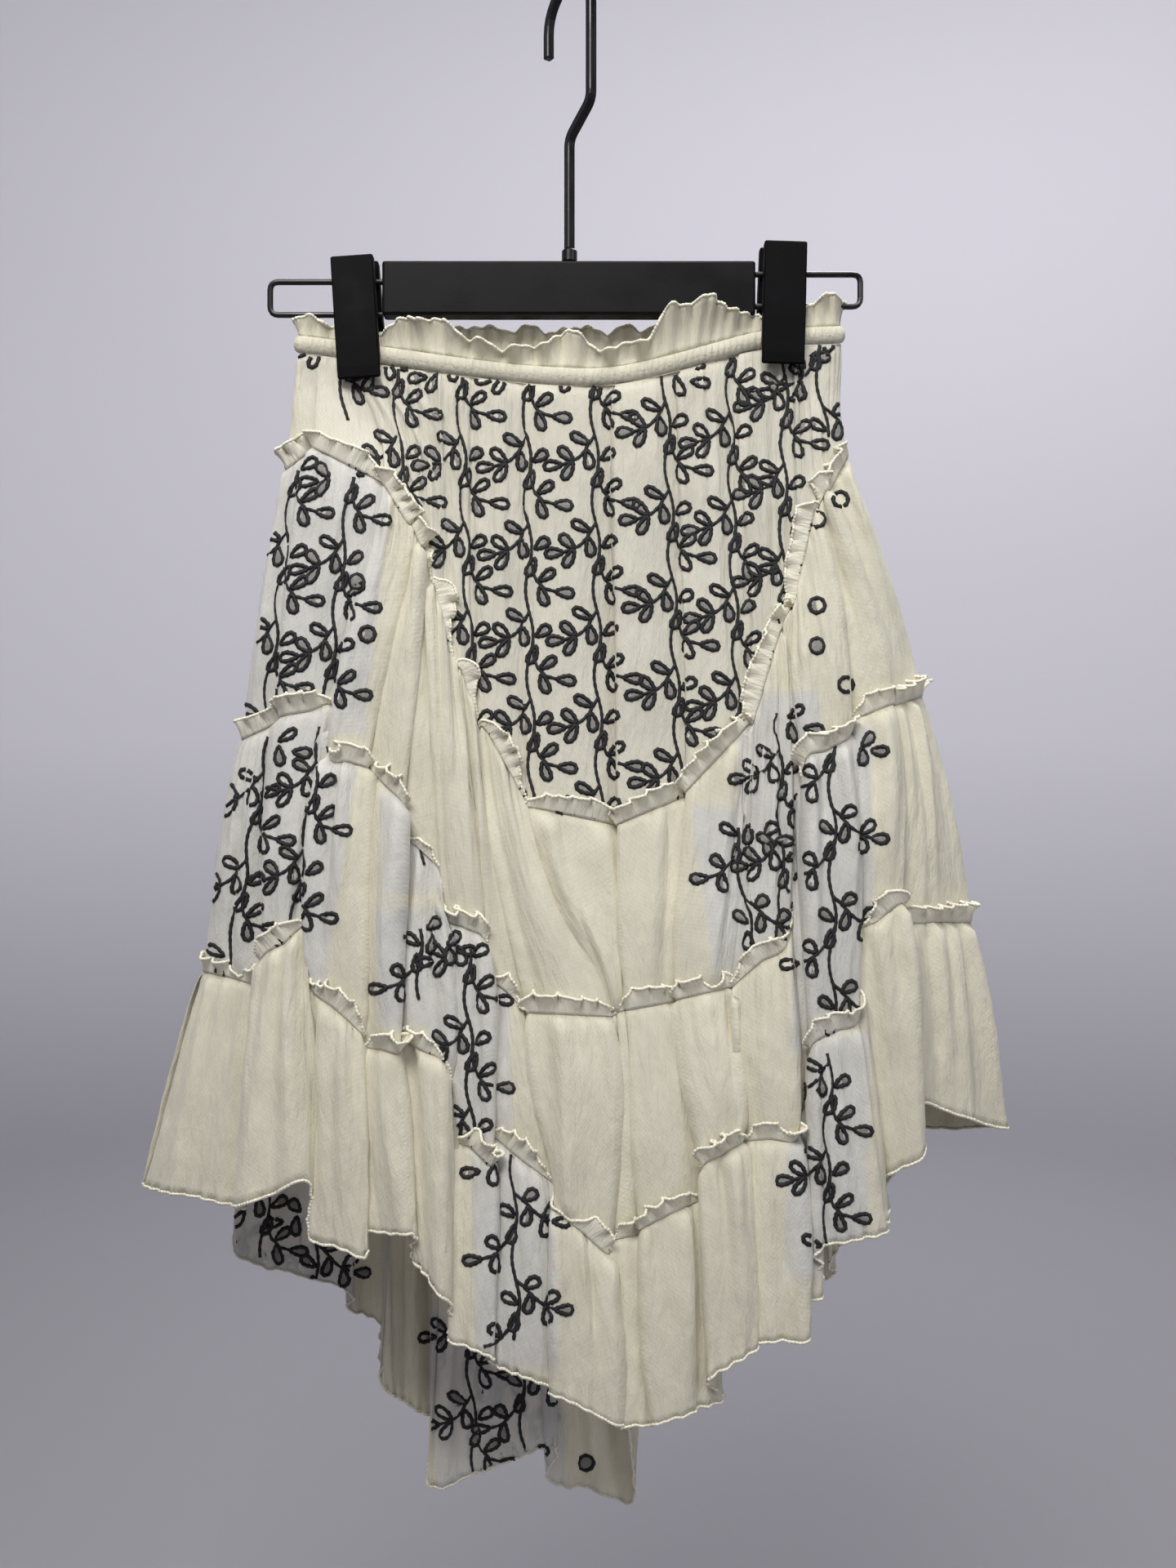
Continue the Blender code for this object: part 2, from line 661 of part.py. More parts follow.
def evened(limits):
    """Shares that change slowly and stay under their limits."""
    limits = np.pad(limits, 2, mode="edge")
    lowest = np.minimum(np.minimum(limits[:-2], limits[1:-1]), limits[2:])
    return ((lowest[:-2] + 2 * lowest[1:-1] + lowest[2:]) / 4)[:, None]


def bunched(root, reach):
    """Places where the tips of a frill come much closer together than its roots."""
    roots = np.diff(root, axis=0)
    tips = np.diff(root + reach, axis=0)
    closed = (roots * tips).sum(axis=1) < LEAST_TIP_SHARE * (roots * roots).sum(axis=1)
    return {place for k in np.flatnonzero(closed) for place in (int(k), int(k) + 1)}


def fit_frill(root, reach, half, tree):
    """How long a frill can be at each place, and where it has room at all."""
    limits = np.ones(len(root))
    roomy = np.ones(len(root), dtype=bool)
    faces = shell_faces(2, len(root), FRONT)
    columns = [sorted({corner % len(root) for corner in face}) for face in faces]
    spare = unit(reach) * SEAM_FRILL_SPARE_LENGTH
    for _ in range(SEAM_FRILL_FITTINGS):
        share = evened(limits)
        tested = frill_points(root, reach + spare / share, half * SEAM_FRILL_SPARE_WIDTH, share)
        touches = BVHTree.FromPolygons([tuple(point) for point in tested], faces).overlap(tree)
        touching = {face for face, _ in touches if roomy[columns[face]].all()}
        places = {place for face in touching for place in columns[face]}
        places |= {place for place in bunched(root, reach * share) if roomy[place]}
        places = sorted(places)
        if not places:
            break
        roomy[[place for place in places if limits[place] <= SEAM_FRILL_LEAST]] = False
        limits[[place for place in places if roomy[place]]] *= SEAM_FRILL_SHORTER
    return evened(limits), roomy


def stretches(roomy, line):
    """First and last place of each stretch of a frill that has room and is long enough."""
    found = []
    start = None
    for place, has_room in enumerate([*roomy, False]):
        if has_room and start is None:
            start = place
        if not has_room and start is not None:
            length = np.linalg.norm(np.diff(line[start:place], axis=0), axis=1).sum()
            if length >= SHORTEST_STRETCH:
                found.append((start, place - 1))
            start = None
    return found


def make_seam_frill(cloth, seam, tree):
    """The waved strips that stand out of a tier seam, parted where the folds leave no room."""
    u = cloth.columns()
    t = np.full((1, len(u)), float(seam))
    line = cloth.plain(u, t)[0]
    outward = cloth.outward(u, t)[0]
    half_turn = half_turns(line)
    lengths = np.linalg.norm(np.diff(line, axis=0), axis=1)
    counts = np.maximum(1, np.round(lengths / SEAM_FRILL_STEP)).astype(int)
    line = between_columns(line, counts)
    outward = unit(between_columns(outward, counts))
    miter = between_columns(1 / half_turn[:, None], counts)
    along = unit(np.gradient(line, axis=0))
    for end in (0, -1):
        along[end] = (0.0, math.copysign(1.0, along[end, 1]), 0.0)
        outward[end, 1] = 0.0
    outward = unit(outward)
    along = unit(along - outward * (along * outward).sum(axis=1, keepdims=True))
    upward = np.cross(outward, along) * cloth.side
    way = outward * math.cos(SEAM_FRILL_LIFT) + upward * math.sin(SEAM_FRILL_LIFT)
    across = upward * math.cos(SEAM_FRILL_LIFT) - outward * math.sin(SEAM_FRILL_LIFT)
    wave = np.sin(2 * math.pi * np.arange(len(line)) / SEAM_WAVE_COLUMNS)[:, None]
    reach = way * SEAM_FRILL_LENGTH + wave * SEAM_WAVE_HEIGHT * across
    half = across * FRILL_THICKNESS / 2
    lift = WALL / 2 + GAP + FRILL_THICKNESS / 2 * math.sin(SEAM_FRILL_LIFT)
    root = line + outward * lift * miter
    share, roomy = fit_frill(root, reach, half, tree)
    for number, (first, last) in enumerate(stretches(roomy, line), start=1):
        run = slice(first, last + 1)
        points = frill_points(root[run], reach[run], half[run], share[run])
        faces = shell_faces(2, last + 1 - first, cloth.side)
        mesh_object(f"seam_frill_{seam}_{SIDE_NAMES[cloth.side]}_{number}", points, faces, "cream_edge")


# The hanger


def rounded_path(corners, radius, steps=4):
    """A path of straight runs with each inner corner cut to a short curve."""
    path = [corners[0]]
    for before, corner, after in zip(corners, corners[1:], corners[2:]):
        start = corner + unit(before - corner) * radius
        end = corner + unit(after - corner) * radius
        for share in np.linspace(0.0, 1.0, steps + 1):
            path.append(start * (1 - share) ** 2 + 2 * corner * share * (1 - share) + end * share**2)
    path.append(corners[-1])
    return path


def make_hook():
    """A square rod bent in one upright plane, which is turned about the stem."""
    radius = HOOK_INNER_RADIUS + ROD / 2
    stem = rounded_path(
        [
            np.array([0.0, -STEM_END]),
            np.array([0.0, -HOOK_JOG_BOTTOM]),
            np.array([radius, -HOOK_JOG_TOP]),
            np.array([radius, -HOOK_INNER_RADIUS]),
        ],
        HOOK_JOG_ROUNDING,
    )
    arch = [
        np.array([radius * math.cos(angle), radius * math.sin(angle) - HOOK_INNER_RADIUS])
        for angle in np.linspace(0.0, math.pi, ARCH_STEPS + 1)[1:]
    ]
    path = np.array([*stem, *arch, [-radius, -HOOK_TIP_DROP]])
    along = unit(np.gradient(path, axis=0))
    along[1:-1] = unit(unit(path[1:-1] - path[:-2]) + unit(path[2:] - path[1:-1]))
    sideways = np.stack([along[:, 1], -along[:, 0]], axis=1) * ROD / 2
    flat = np.array([math.cos(HOOK_TURN), -math.sin(HOOK_TURN), 0.0])
    through = np.array([math.sin(HOOK_TURN), math.cos(HOOK_TURN), 0.0]) * ROD / 2
    up = np.array([0.0, 0.0, 1.0])
    points = []
    for middle, side in zip(path, sideways):
        centre = flat * middle[0] + up * middle[1]
        edge = flat * side[0] + up * side[1]
        points += [centre + edge + through, centre - edge + through]
        points += [centre - edge - through, centre + edge - through]
    faces = ring_faces(len(path), 4, FRONT)
    hook = mesh_object("hook", points, faces, "black_satin", outward_known=False)
    round_edges(hook, ROD_EDGE, 1)


def make_cylinder(name, radius, length, place, turned, edge):
    mesh = bpy.data.meshes.new(name)
    shape = bmesh.new()
    bmesh.ops.create_cone(
        shape, cap_ends=True, segments=ROUND_SIDES, radius1=radius * MM, radius2=radius * MM, depth=length * MM
    )
    shape.to_mesh(mesh)
    shape.free()
    mesh.shade_smooth()
    mesh.set_sharp_from_angle(angle=math.radians(50))
    thing = add_object(name, mesh, "black_satin")
    thing.rotation_euler = (0.0, math.pi / 2, 0.0) if turned else (0.0, 0.0, 0.0)
    thing.location = Vector(place) * MM
    round_edges(thing, edge, 1)


def make_box(name, low, high, edge):
    x0, y0, z0 = low
    x1, y1, z1 = high
    corners = [(x, y, z) for z in (z0, z1) for x, y in ((x0, y0), (x1, y0), (x1, y1), (x0, y1))]
    faces = ring_faces(2, 4, FRONT)
    box = mesh_object(name, corners, faces, "black_satin", outward_known=False)
    round_edges(box, edge, 2)


def make_wire(clip):
    """The loop of wire that a clip slides on, from the bar's end out and back."""
    bar_end = BAR_LEFT if clip.outward < 0 else BAR_RIGHT
    start = bar_end + clip.outward * GAP
    corners = [
        np.array([start, 0.0, -clip.upper]),
        np.array([clip.loop_end, 0.0, -clip.upper]),
        np.array([clip.loop_end, 0.0, -clip.lower]),
        np.array([start, 0.0, -clip.lower]),
    ]
    path = rounded_path(corners, WIRE_CORNER)
    curve = bpy.data.curves.new(f"wire_{clip.name}", "CURVE")
    curve.dimensions = "3D"
    curve.bevel_depth = WIRE_DIAMETER / 2 * MM
    curve.bevel_resolution = 3
    curve.use_fill_caps = True
    spline = curve.splines.new("POLY")
    spline.points.add(len(path) - 1)
    for point, place in zip(spline.points, path):
        point.co = (*(Vector(place) * MM), 1.0)
        point.radius = 1.0
    spline.use_smooth = True
    add_object(f"wire_{clip.name}", curve, "black_wire")


def make_jaw(clip, side):
    """One jaw: a profile drawn across the clip's width and turned with the clip."""
    extra = REAR_JAW_EXTRA if side == BACK else 0.0
    left = -JAW_WIDTH / 2 - (extra if clip.outward > 0 else 0.0)
    right = JAW_WIDTH / 2 + (extra if clip.outward < 0 else 0.0)
    points = []
    for x in (left, right):
        for depth, height in JAW_OUTLINE:
            points.append(
                (
                    clip.x + x * math.cos(clip.tilt) + height * math.sin(clip.tilt),
                    -side * depth,
                    -clip.grip + height * math.cos(clip.tilt) - x * math.sin(clip.tilt),
                )
            )
    place = "front" if side == FRONT else "rear"
    faces = ring_faces(2, len(JAW_OUTLINE), FRONT)
    name = f"clip_{clip.name}_jaw_{place}"
    jaw = mesh_object(name, points, faces, "black_satin", outward_known=False)
    round_edges(jaw, JAW_EDGE, 1)


def make_clip(clip):
    for side in (FRONT, BACK):
        make_jaw(clip, side)
    drop = (clip.upper + clip.lower) / 2
    x = clip.x + (clip.grip - drop) * math.sin(clip.tilt)
    make_cylinder(f"clip_{clip.name}_pin", PIN_RADIUS, PIN_LENGTH, (x, 0.0, -drop), True, 0.3)


def make_hanger():
    make_hook()
    collar_bottom = BAR_TOP - GAP
    length = collar_bottom - COLLAR_TOP
    make_cylinder(
        "hook_collar", COLLAR_RADIUS, length, (0.0, 0.0, -(COLLAR_TOP + collar_bottom) / 2), False, 0.8
    )
    half = BAR_THICKNESS / 2
    make_box("bar", (BAR_LEFT, -half, -BAR_BOTTOM), (BAR_RIGHT, half, -BAR_TOP), BAR_EDGE)
    for clip in CLIPS:
        make_wire(clip)
        make_clip(clip)


def make_skirt():
    sides = [Cloth(FRONT_FOLDS, FRONT), Cloth(BACK_FOLDS, BACK)]
    tree = joined([make_tier(cloth, tier) for cloth in sides for tier in range(TIERS)])
    for cloth in sides:
        make_casing(cloth.side)
        make_waist_frill(cloth.side)
        for seam in range(1, TIERS):
            make_seam_frill(cloth, seam, tree)


clear_scene()
make_skirt()
make_hanger()
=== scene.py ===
"""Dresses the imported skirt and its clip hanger: fine cloth, frills, embroidery, finishes and a studio.

The cloth follows the same fold tables as its solids, in finer columns and rows, with the gathers
and crinkles that solids are too coarse for. Lengths in the tables and in the shape functions are in
millimetres, and become metres where a mesh is made.
"""

import math
from collections import namedtuple

import bpy
import numpy as np
from bpy.props import FloatProperty, PointerProperty
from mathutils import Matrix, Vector
from mathutils.bvhtree import BVHTree


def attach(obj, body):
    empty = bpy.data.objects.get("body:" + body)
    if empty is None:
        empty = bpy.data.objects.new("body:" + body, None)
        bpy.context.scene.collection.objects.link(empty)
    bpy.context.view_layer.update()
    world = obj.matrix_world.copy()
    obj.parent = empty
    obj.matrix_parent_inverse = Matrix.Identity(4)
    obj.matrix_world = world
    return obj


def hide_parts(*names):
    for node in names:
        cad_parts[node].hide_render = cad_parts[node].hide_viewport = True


bl_info = {
    "name": "Embroidered skirt",
    "version": (1, 0, 0),
    "blender": (4, 5, 0),
    "location": "3D View > Sidebar > Skirt",
    "description": "Makes the cloth, frills, embroidery and hanger finishes of a skirt on its clip hanger",
    "category": "Object",
}

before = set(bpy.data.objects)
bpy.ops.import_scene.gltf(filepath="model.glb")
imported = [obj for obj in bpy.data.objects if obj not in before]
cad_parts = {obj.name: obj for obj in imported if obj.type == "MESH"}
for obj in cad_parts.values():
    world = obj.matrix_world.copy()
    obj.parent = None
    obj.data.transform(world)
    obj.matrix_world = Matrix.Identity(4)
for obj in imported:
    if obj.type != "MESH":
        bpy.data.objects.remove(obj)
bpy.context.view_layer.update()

MM = 0.001

# The eye that the tables were read from, and the skirt's own sizes
EYE_X = 11.0
EYE_Z = -474.0
EYE_DISTANCE = 850.0
FRONT = 1
BACK = -1
SIDE_NAMES = {FRONT: "front", BACK: "back"}
GAP = 0.3
TIER_NAMES = ("yoke", "tier_2", "tier_3", "tier_4")
TIERS = len(TIER_NAMES)
TIER_PUFF = (0.0, 3.0, 3.0, 2.0)
DEPTH_AT_LEVEL = (12.0, 23.0, 40.0, 54.0, 64.0)
SECTIONS_A_TIER = 4
ROUNDNESS = 2.2
CROWN_SHARE = 0.08
CROWN_MOST = 5.0
TUCK_SHARE = 0.9
ROOM_SHARE = 0.35
TUCK_START = 7.0
SLOPE_STEP = 0.03
CASING_HEIGHT = 10.0
CASING_THICKNESS = 5.0
CASING_GAP = 0.65
WAIST_HALF_WIDTH = 160.5
WAIST_DEPTH = 12.0
CLIPPED_DEPTH = 3.0
CLIPPED_FROM = 110.0
WAIST_OPENS_OVER = 45.0
WAIST_SOFTENING = (-14.0, -7.0, 0.0, 7.0, 14.0)
SIDE_TURN_STEPS = 3
WAIST_WAVE_LENGTH = 18.5

# across: x at the waist, seams 1 to 3 and the hem; lap: how far the piece on the left lies in
# front of the one on the right there; left and right: drop of seams 1 to 3 and of the hem
Fold = namedtuple("Fold", "name across lap left right")

FRONT_FOLDS = (
    Fold("left_side", (-160, -168, -194, -217, -252), (0, 0, 0, 0, 0),
         (288, 448, 585, 712), (288, 448, 585, 712)),
    Fold("band", (-146, -151, -171, -182, -193), (-1, -6, -9, -9, -8),
         (275, 436, 594, 726), (275, 434, 577, 724)),
    Fold("long", (-126, -110, -142, -154, -156), (0, -5, -9, -4, 5),
         (295, 428, 560, 710), (297, 458, 594, 742)),
    Fold("crease", (-109, -96, -121, -124, -120), (0, 3, 4, 7, 11),
         (319, 464, 622, 756), (320, 465, 629, 740)),
    Fold("sprig", (-99, -88, -99, -101, -92), (0, 4, 10, 12, 10),
         (333, 486, 634, 742), (334, 499, 621, 753)),
    Fold("ridge_left", (-86, -81, -74, -73, -72), (0, -2, -4, 4, 7),
         (355, 527, 642, 782), (356, 553, 680, 802)),
    Fold("ridge_right", (-71, -66, -51, -46, -46), (-1, -2, 5, 10, 7),
         (404, 566, 701, 815), (406, 586, 682, 818)),
    Fold("centre", (-52, -51, -23, -9, -6), (-2, -3, -3, -8, -9),
         (440, 609, 713, 834), (441, 610, 726, 837)),
    Fold("pleat_left", (-24, -22, 22, 22, 27), (-2, -3, 2, 6, 4),
         (486, 612, 753, 854), (488, 612, 746, 855)),
    Fold("pleat_middle", (28, 29, 36, 43, 50), (-3, -9, -3, -9, -4),
         (499, 608, 740, 855), (498, 608, 738, 854)),
    Fold("pleat_right", (67, 70, 65, 80, 84), (-3, -8, -5, -13, -15),
         (480, 603, 716, 839), (478, 602, 701, 828)),
    Fold("panel", (101, 109, 94, 102, 111), (-2, -3, 3, 7, 7),
         (439, 595, 687, 808), (437, 594, 686, 804)),
    Fold("gully_left", (120, 125, 130, 135, 138), (0, 2, 10, 12, 10),
         (386, 566, 684, 804), (382, 513, 654, 785)),
    Fold("gully_right", (130, 133, 140, 144, 149), (0, -2, -10, -12, -9),
         (370, 508, 651, 775), (368, 462, 630, 751)),
    Fold("band_right", (139, 146, 166, 172, 188), (0, 3, 10, 11, 12),
         (312, 446, 612, 738), (310, 438, 566, 712)),
    Fold("last", (150, 153, 191, 197, 209), (0, 3, 4, 7, 9),
         (300, 427, 545, 693), (299, 427, 556, 664)),
    Fold("right_side", (161, 165, 209, 238, 255), (0, 0, 0, 0, 0),
         (280, 422, 556, 678), (280, 422, 556, 678)),
)

BACK_FOLDS = (
    Fold("left_side", (-160, -168, -194, -217, -252), (0, 0, 0, 0, 0),
         (288, 448, 585, 712), (288, 448, 585, 712)),
    Fold("left_tail", (-134, -137, -167, -184, -196), (1, 4, 8, 8, 8),
         (273, 430, 581, 724), (273, 432, 586, 753)),
    Fold("left_gap", (-105, -110, -129, -132, -132), (-1, -4, -8, -9, -8),
         (300, 448, 598, 776), (302, 460, 610, 785)),
    Fold("step", (-81, -76, -86, -105, -110), (1, 5, 8, 10, 10),
         (343, 484, 634, 797), (348, 499, 649, 828)),
    Fold("point_left", (-47, -42, -57, -74, -80), (2, 5, 8, 10, 10),
         (421, 552, 688, 857), (431, 566, 707, 892)),
    Fold("point_right", (-3, -3, -3, -8, -11), (-1, -5, -8, -10, -10),
         (489, 610, 756, 868), (494, 613, 763, 888)),
    Fold("tail_right", (40, 50, 45, 40, 38), (2, 6, 9, 10, 12),
         (496, 613, 765, 899), (494, 608, 736, 833)),
    Fold("slope", (79, 89, 89, 94, 98), (-1, -5, -8, -9, -9),
         (469, 586, 697, 804), (465, 581, 693, 794)),
    Fold("right_tail", (113, 128, 137, 147, 157), (1, 5, 9, 10, 10),
         (387, 513, 654, 765), (382, 508, 639, 758)),
    Fold("last", (142, 149, 181, 191, 200), (-1, -4, -6, -8, -8),
         (305, 440, 566, 693), (302, 438, 564, 680)),
    Fold("right_side", (161, 165, 209, 238, 255), (0, 0, 0, 0, 0),
         (280, 422, 556, 678), (280, 422, 556, 678)),
)

# Drop of the middle of the waist casing along x
WaistPoint = namedtuple("WaistPoint", "x front back")

WAIST_LINE = (
    WaistPoint(-165, 212, 212),
    WaistPoint(-127, 217, 217),
    WaistPoint(-100, 221, 219),
    WaistPoint(-66, 226, 222),
    WaistPoint(-23, 231, 225),
    WaistPoint(20, 233, 225),
    WaistPoint(51, 227, 221),
    WaistPoint(87, 217, 214),
    WaistPoint(115, 209, 209),
    WaistPoint(165, 207, 207),
)

# height: top of the waist frill above the middle of the casing; lean: how far the top leans out;
# wave: half the swing of its waves
Ruffle = namedtuple("Ruffle", "x height lean wave")

FRONT_RUFFLES = (
    Ruffle(-161, 11, 1.0, 0.0),
    Ruffle(-152, 19, 5.0, 1.5),
    Ruffle(-141, 12, 0.5, 0.0),
    Ruffle(-110, 12, 0.5, 0.0),
    Ruffle(-101, 20, 5.0, 2.0),
    Ruffle(-88, 25, 7.0, 3.0),
    Ruffle(-70, 22, 6.0, 3.0),
    Ruffle(-55, 13, 6.0, 3.0),
    Ruffle(-20, 13, 5.0, 3.0),
    Ruffle(-3, 28, 4.0, 3.0),
    Ruffle(14, 15, 5.0, 3.0),
    Ruffle(46, 15, 6.0, 3.0),
    Ruffle(60, 33, 8.0, 3.0),
    Ruffle(82, 30, 9.0, 3.0),
    Ruffle(98, 20, 6.0, 2.0),
    Ruffle(110, 12, 0.5, 0.0),
    Ruffle(141, 12, 0.5, 0.0),
    Ruffle(150, 27, 7.0, 1.5),
    Ruffle(157, 25, 7.0, 1.0),
    Ruffle(161, 12, 1.0, 0.0),
)

BACK_RUFFLES = (
    Ruffle(-161, 11, 1.0, 0.0),
    Ruffle(-152, 18, 5.0, 1.5),
    Ruffle(-141, 12, 0.5, 0.0),
    Ruffle(-110, 12, 0.5, 0.0),
    Ruffle(-90, 20, 3.0, 3.0),
    Ruffle(0, 22, 3.0, 3.5),
    Ruffle(60, 19, 3.0, 3.0),
    Ruffle(90, 13, 2.0, 2.0),
    Ruffle(110, 12, 0.5, 0.0),
    Ruffle(141, 12, 0.5, 0.0),
    Ruffle(152, 19, 5.0, 1.5),
    Ruffle(161, 12, 1.0, 0.0),
)

# How each tier was cut, before it was gathered, in metres
Cut = namedtuple("Cut", "tier side width length area")

# Drag lines in the yoke: where each starts at the waist and ends, how far down it reaches as a
# share of the yoke, its half width and its height
Pull = namedtuple("Pull", "side top bottom reach width height")
PULLS = (
    Pull(FRONT, -118, -86, 0.95, 3.2, 1.6),
    Pull(FRONT, -112, -58, 0.80, 2.6, 1.4),
    Pull(FRONT, -104, -30, 0.60, 2.4, 1.1),
    Pull(FRONT, -44, -38, 0.90, 3.0, 1.3),
    Pull(FRONT, 2, 6, 0.85, 3.4, 1.4),
    Pull(FRONT, 46, 48, 0.80, 3.0, 1.2),
    Pull(FRONT, 88, 84, 0.75, 2.8, 1.3),
    Pull(FRONT, 112, 92, 0.85, 3.0, 1.6),
    Pull(FRONT, 119, 112, 0.95, 3.0, 1.4),
    Pull(BACK, -116, -90, 0.90, 3.0, 1.5),
    Pull(BACK, -98, -62, 0.70, 2.6, 1.2),
    Pull(BACK, -30, -24, 0.85, 3.2, 1.3),
    Pull(BACK, 22, 24, 0.80, 3.0, 1.3),
    Pull(BACK, 66, 60, 0.75, 2.8, 1.2),
    Pull(BACK, 110, 84, 0.85, 3.0, 1.5),
)

# Gathers of a tier: space between them and its spread, their width and height, and how far down
# they reach as a share of the tier. Each tier has small gathers, broad folds and narrow creases.
Gather = namedtuple("Gather", "space spread width height reach")
GATHERS = (
    (Gather(7.5, 3.0, 1.9, 0.75, 0.40), Gather(19.0, 7.0, 4.2, 1.9, 1.1), Gather(24.0, 9.0, 1.5, -1.2, 1.0)),
    (Gather(7.0, 3.0, 2.0, 1.3, 0.50), Gather(17.0, 6.0, 4.0, 4.2, 1.3), Gather(21.0, 9.0, 1.8, -3.0, 1.3)),
    (Gather(7.0, 3.0, 2.0, 1.4, 0.55), Gather(16.0, 6.0, 3.9, 5.0, 1.5), Gather(20.0, 9.0, 1.9, -3.4, 1.5)),
    (Gather(7.5, 3.0, 2.1, 1.4, 0.55), Gather(16.0, 6.0, 4.0, 5.0, 1.8), Gather(20.0, 9.0, 2.0, -3.4, 1.8)),
)
GATHER_MARGIN = 3.0
GATHER_OPENS = 0.6
GATHER_STARTS_OVER = 6.0
GATHER_ENDS_OVER = 9.0
CRINKLE = (0.15, 0.30, 0.40, 0.45)
SEAM_INSET = 0.001
HEM_WAVE = 8.5
HEM_WAVE_HEIGHT = 1.8
HEM_WAVE_REACH = 14.0
GATHER_SEED = 7

# Vines of the embroidery as seen from straight in front or behind: where the stem starts and ends
Vine = namedtuple("Vine", "side tier inside x_top top x_bottom bottom phase turned")
VINES = (
    Vine(FRONT, 0, False, -136, 216, -133, 258, 0.3, False),
    Vine(FRONT, 0, False, -104, 219, -98, 345, 0.1, False),
    Vine(FRONT, 0, False, -66, 220, -58, 440, 0.10, False),
    Vine(FRONT, 0, False, -26, 221, -22, 486, 0.10, False),
    Vine(FRONT, 0, False, 14, 221, 18, 508, 0.12, False),
    Vine(FRONT, 0, False, 56, 219, 66, 502, 0.46, False),
    Vine(FRONT, 0, False, 94, 217, 100, 462, 0.3, False),
    Vine(FRONT, 0, False, 128, 211, 126, 380, 0.6, False),
    Vine(FRONT, 0, False, 146, 208, 152, 270, 0.2, True),
    Vine(FRONT, 1, False, -163, 288, -181, 436, 0.3, False),
    Vine(FRONT, 1, False, -130, 292, -145, 430, 0.3, False),
    Vine(FRONT, 2, False, -178, 446, -204, 586, 0.6, False),
    Vine(FRONT, 2, False, -147, 440, -168, 580, 0.6, False),
    Vine(FRONT, 2, False, -88, 492, -86, 524, 0.4, False),
    Vine(FRONT, 2, False, -90, 560, -88, 604, 0.1, True),
    Vine(FRONT, 2, False, -61, 572, -58, 706, 0.2, False),
    Vine(FRONT, 3, False, -34, 690, -31, 806, 0.5, True),
    Vine(FRONT, 1, False, 98, 500, 108, 570, 0.2, True),
    Vine(FRONT, 1, False, 124, 432, 126, 560, 0.6, False),
    Vine(FRONT, 2, False, 156, 452, 156, 618, 0.3, True),
    Vine(FRONT, 3, False, 154, 634, 152, 752, 0.9, False),
    Vine(BACK, 3, True, -60, 800, -56, 884, 0.3, False),
    Vine(BACK, 3, True, -30, 806, -26, 880, 0.8, True),
    Vine(BACK, 3, True, -180, 716, -182, 756, 0.1, False),
    Vine(BACK, 3, True, -150, 720, -152, 776, 0.5, True),
    Vine(BACK, 3, False, -73, 859, -68, 958, 0.3, False),
    Vine(BACK, 3, False, -37, 866, -33, 953, 0.8, False),
    Vine(BACK, 3, False, -214, 760, -217, 807, 0.1, False),
    Vine(BACK, 3, False, -179, 764, -181, 830, 0.5, False),
    Vine(BACK, 0, False, -104, 217, -92, 325, 0.4, False),
    Vine(BACK, 0, False, -64, 218, -56, 400, 0.1, False),
    Vine(BACK, 0, False, -22, 219, -18, 470, 0.15, False),
    Vine(BACK, 0, False, 20, 219, 24, 485, 0.2, False),
    Vine(BACK, 0, False, 62, 218, 68, 470, 0.5, False),
    Vine(BACK, 0, False, 104, 217, 106, 400, 0.3, False),
    Vine(BACK, 1, False, -158, 290, -176, 432, 0.6, False),
    Vine(BACK, 1, False, -128, 300, -140, 432, 0.1, False),
    Vine(BACK, 1, False, 150, 292, 158, 430, 0.2, False),
    Vine(BACK, 2, False, -112, 480, -118, 590, 0.4, False),
    Vine(BACK, 2, False, -28, 602, -30, 690, 0.2, True),
    Vine(BACK, 2, False, 152, 500, 162, 600, 0.8, False),
)

# Single rings of the embroidery
Ring = namedtuple("Ring", "side tier inside x drop")
RINGS = (
    Ring(FRONT, 1, False, -120, 385),
    Ring(FRONT, 1, False, -126, 354),
    Ring(FRONT, 2, False, -136, 444),
    Ring(FRONT, 1, False, 161, 305),
    Ring(FRONT, 1, False, 147, 317),
    Ring(FRONT, 1, False, 147, 368),
    Ring(FRONT, 1, False, 147, 392),
    Ring(FRONT, 1, False, 164, 415),
    Ring(FRONT, 2, False, 163, 436),
    Ring(BACK, 3, True, 10, 877),
    Ring(BACK, 1, False, 60, 520),
    Ring(BACK, 1, False, -100, 430),
)

# One repeat of a vine, drawn from its stem: the places where leaves start, and where they point,
# counted in degrees from the right, clockwise
REPEAT = 52.0
STEM_SWING = 2.2
Leaf = namedtuple("Leaf", "x y turn length")
LEAVES = (
    Leaf(-4.4, 5.0, 210, 10.5),
    Leaf(-15.0, 15.0, 223, 10.5),
    Leaf(-21.5, 17.8, 177, 10.0),
    Leaf(-6.7, 8.9, 79, 11.0),
    Leaf(-15.0, 16.2, 109, 10.5),
    Leaf(2.0, 14.4, -36, 9.5),
    Leaf(2.4, 20.5, 99, 10.0),
    Leaf(8.0, 33.5, -40, 9.5),
    Leaf(9.0, 37.0, 80, 11.0),
    Leaf(18.0, 40.0, 6, 10.5),
)
Branch = namedtuple("Branch", "points")
BRANCHES = (
    Branch(((0, 0), (-3.9, 4.4), (-7.2, 8.9), (-11, 13.0), (-15, 15.6), (-21.5, 17.8))),
    Branch(((0, 16), (1.0, 22), (3.0, 28), (6.0, 33), (11, 38), (18, 40))),
)

# Colours
CREAM = (0.76, 0.72, 0.575)
PALE_PANEL = (0.69, 0.675, 0.63)
# Cream of the overlock thread; the seam frills are given it too, as painted light on their cream mesh
EDGE_THREAD_AND_LIT_FRILL_CREAM = (0.90, 0.865, 0.72)
THREAD_BLACK = (0.010, 0.010, 0.012)
LEAF_TAUPE = (0.27, 0.255, 0.235)
HANGER_BLACK = (0.003, 0.003, 0.0035)

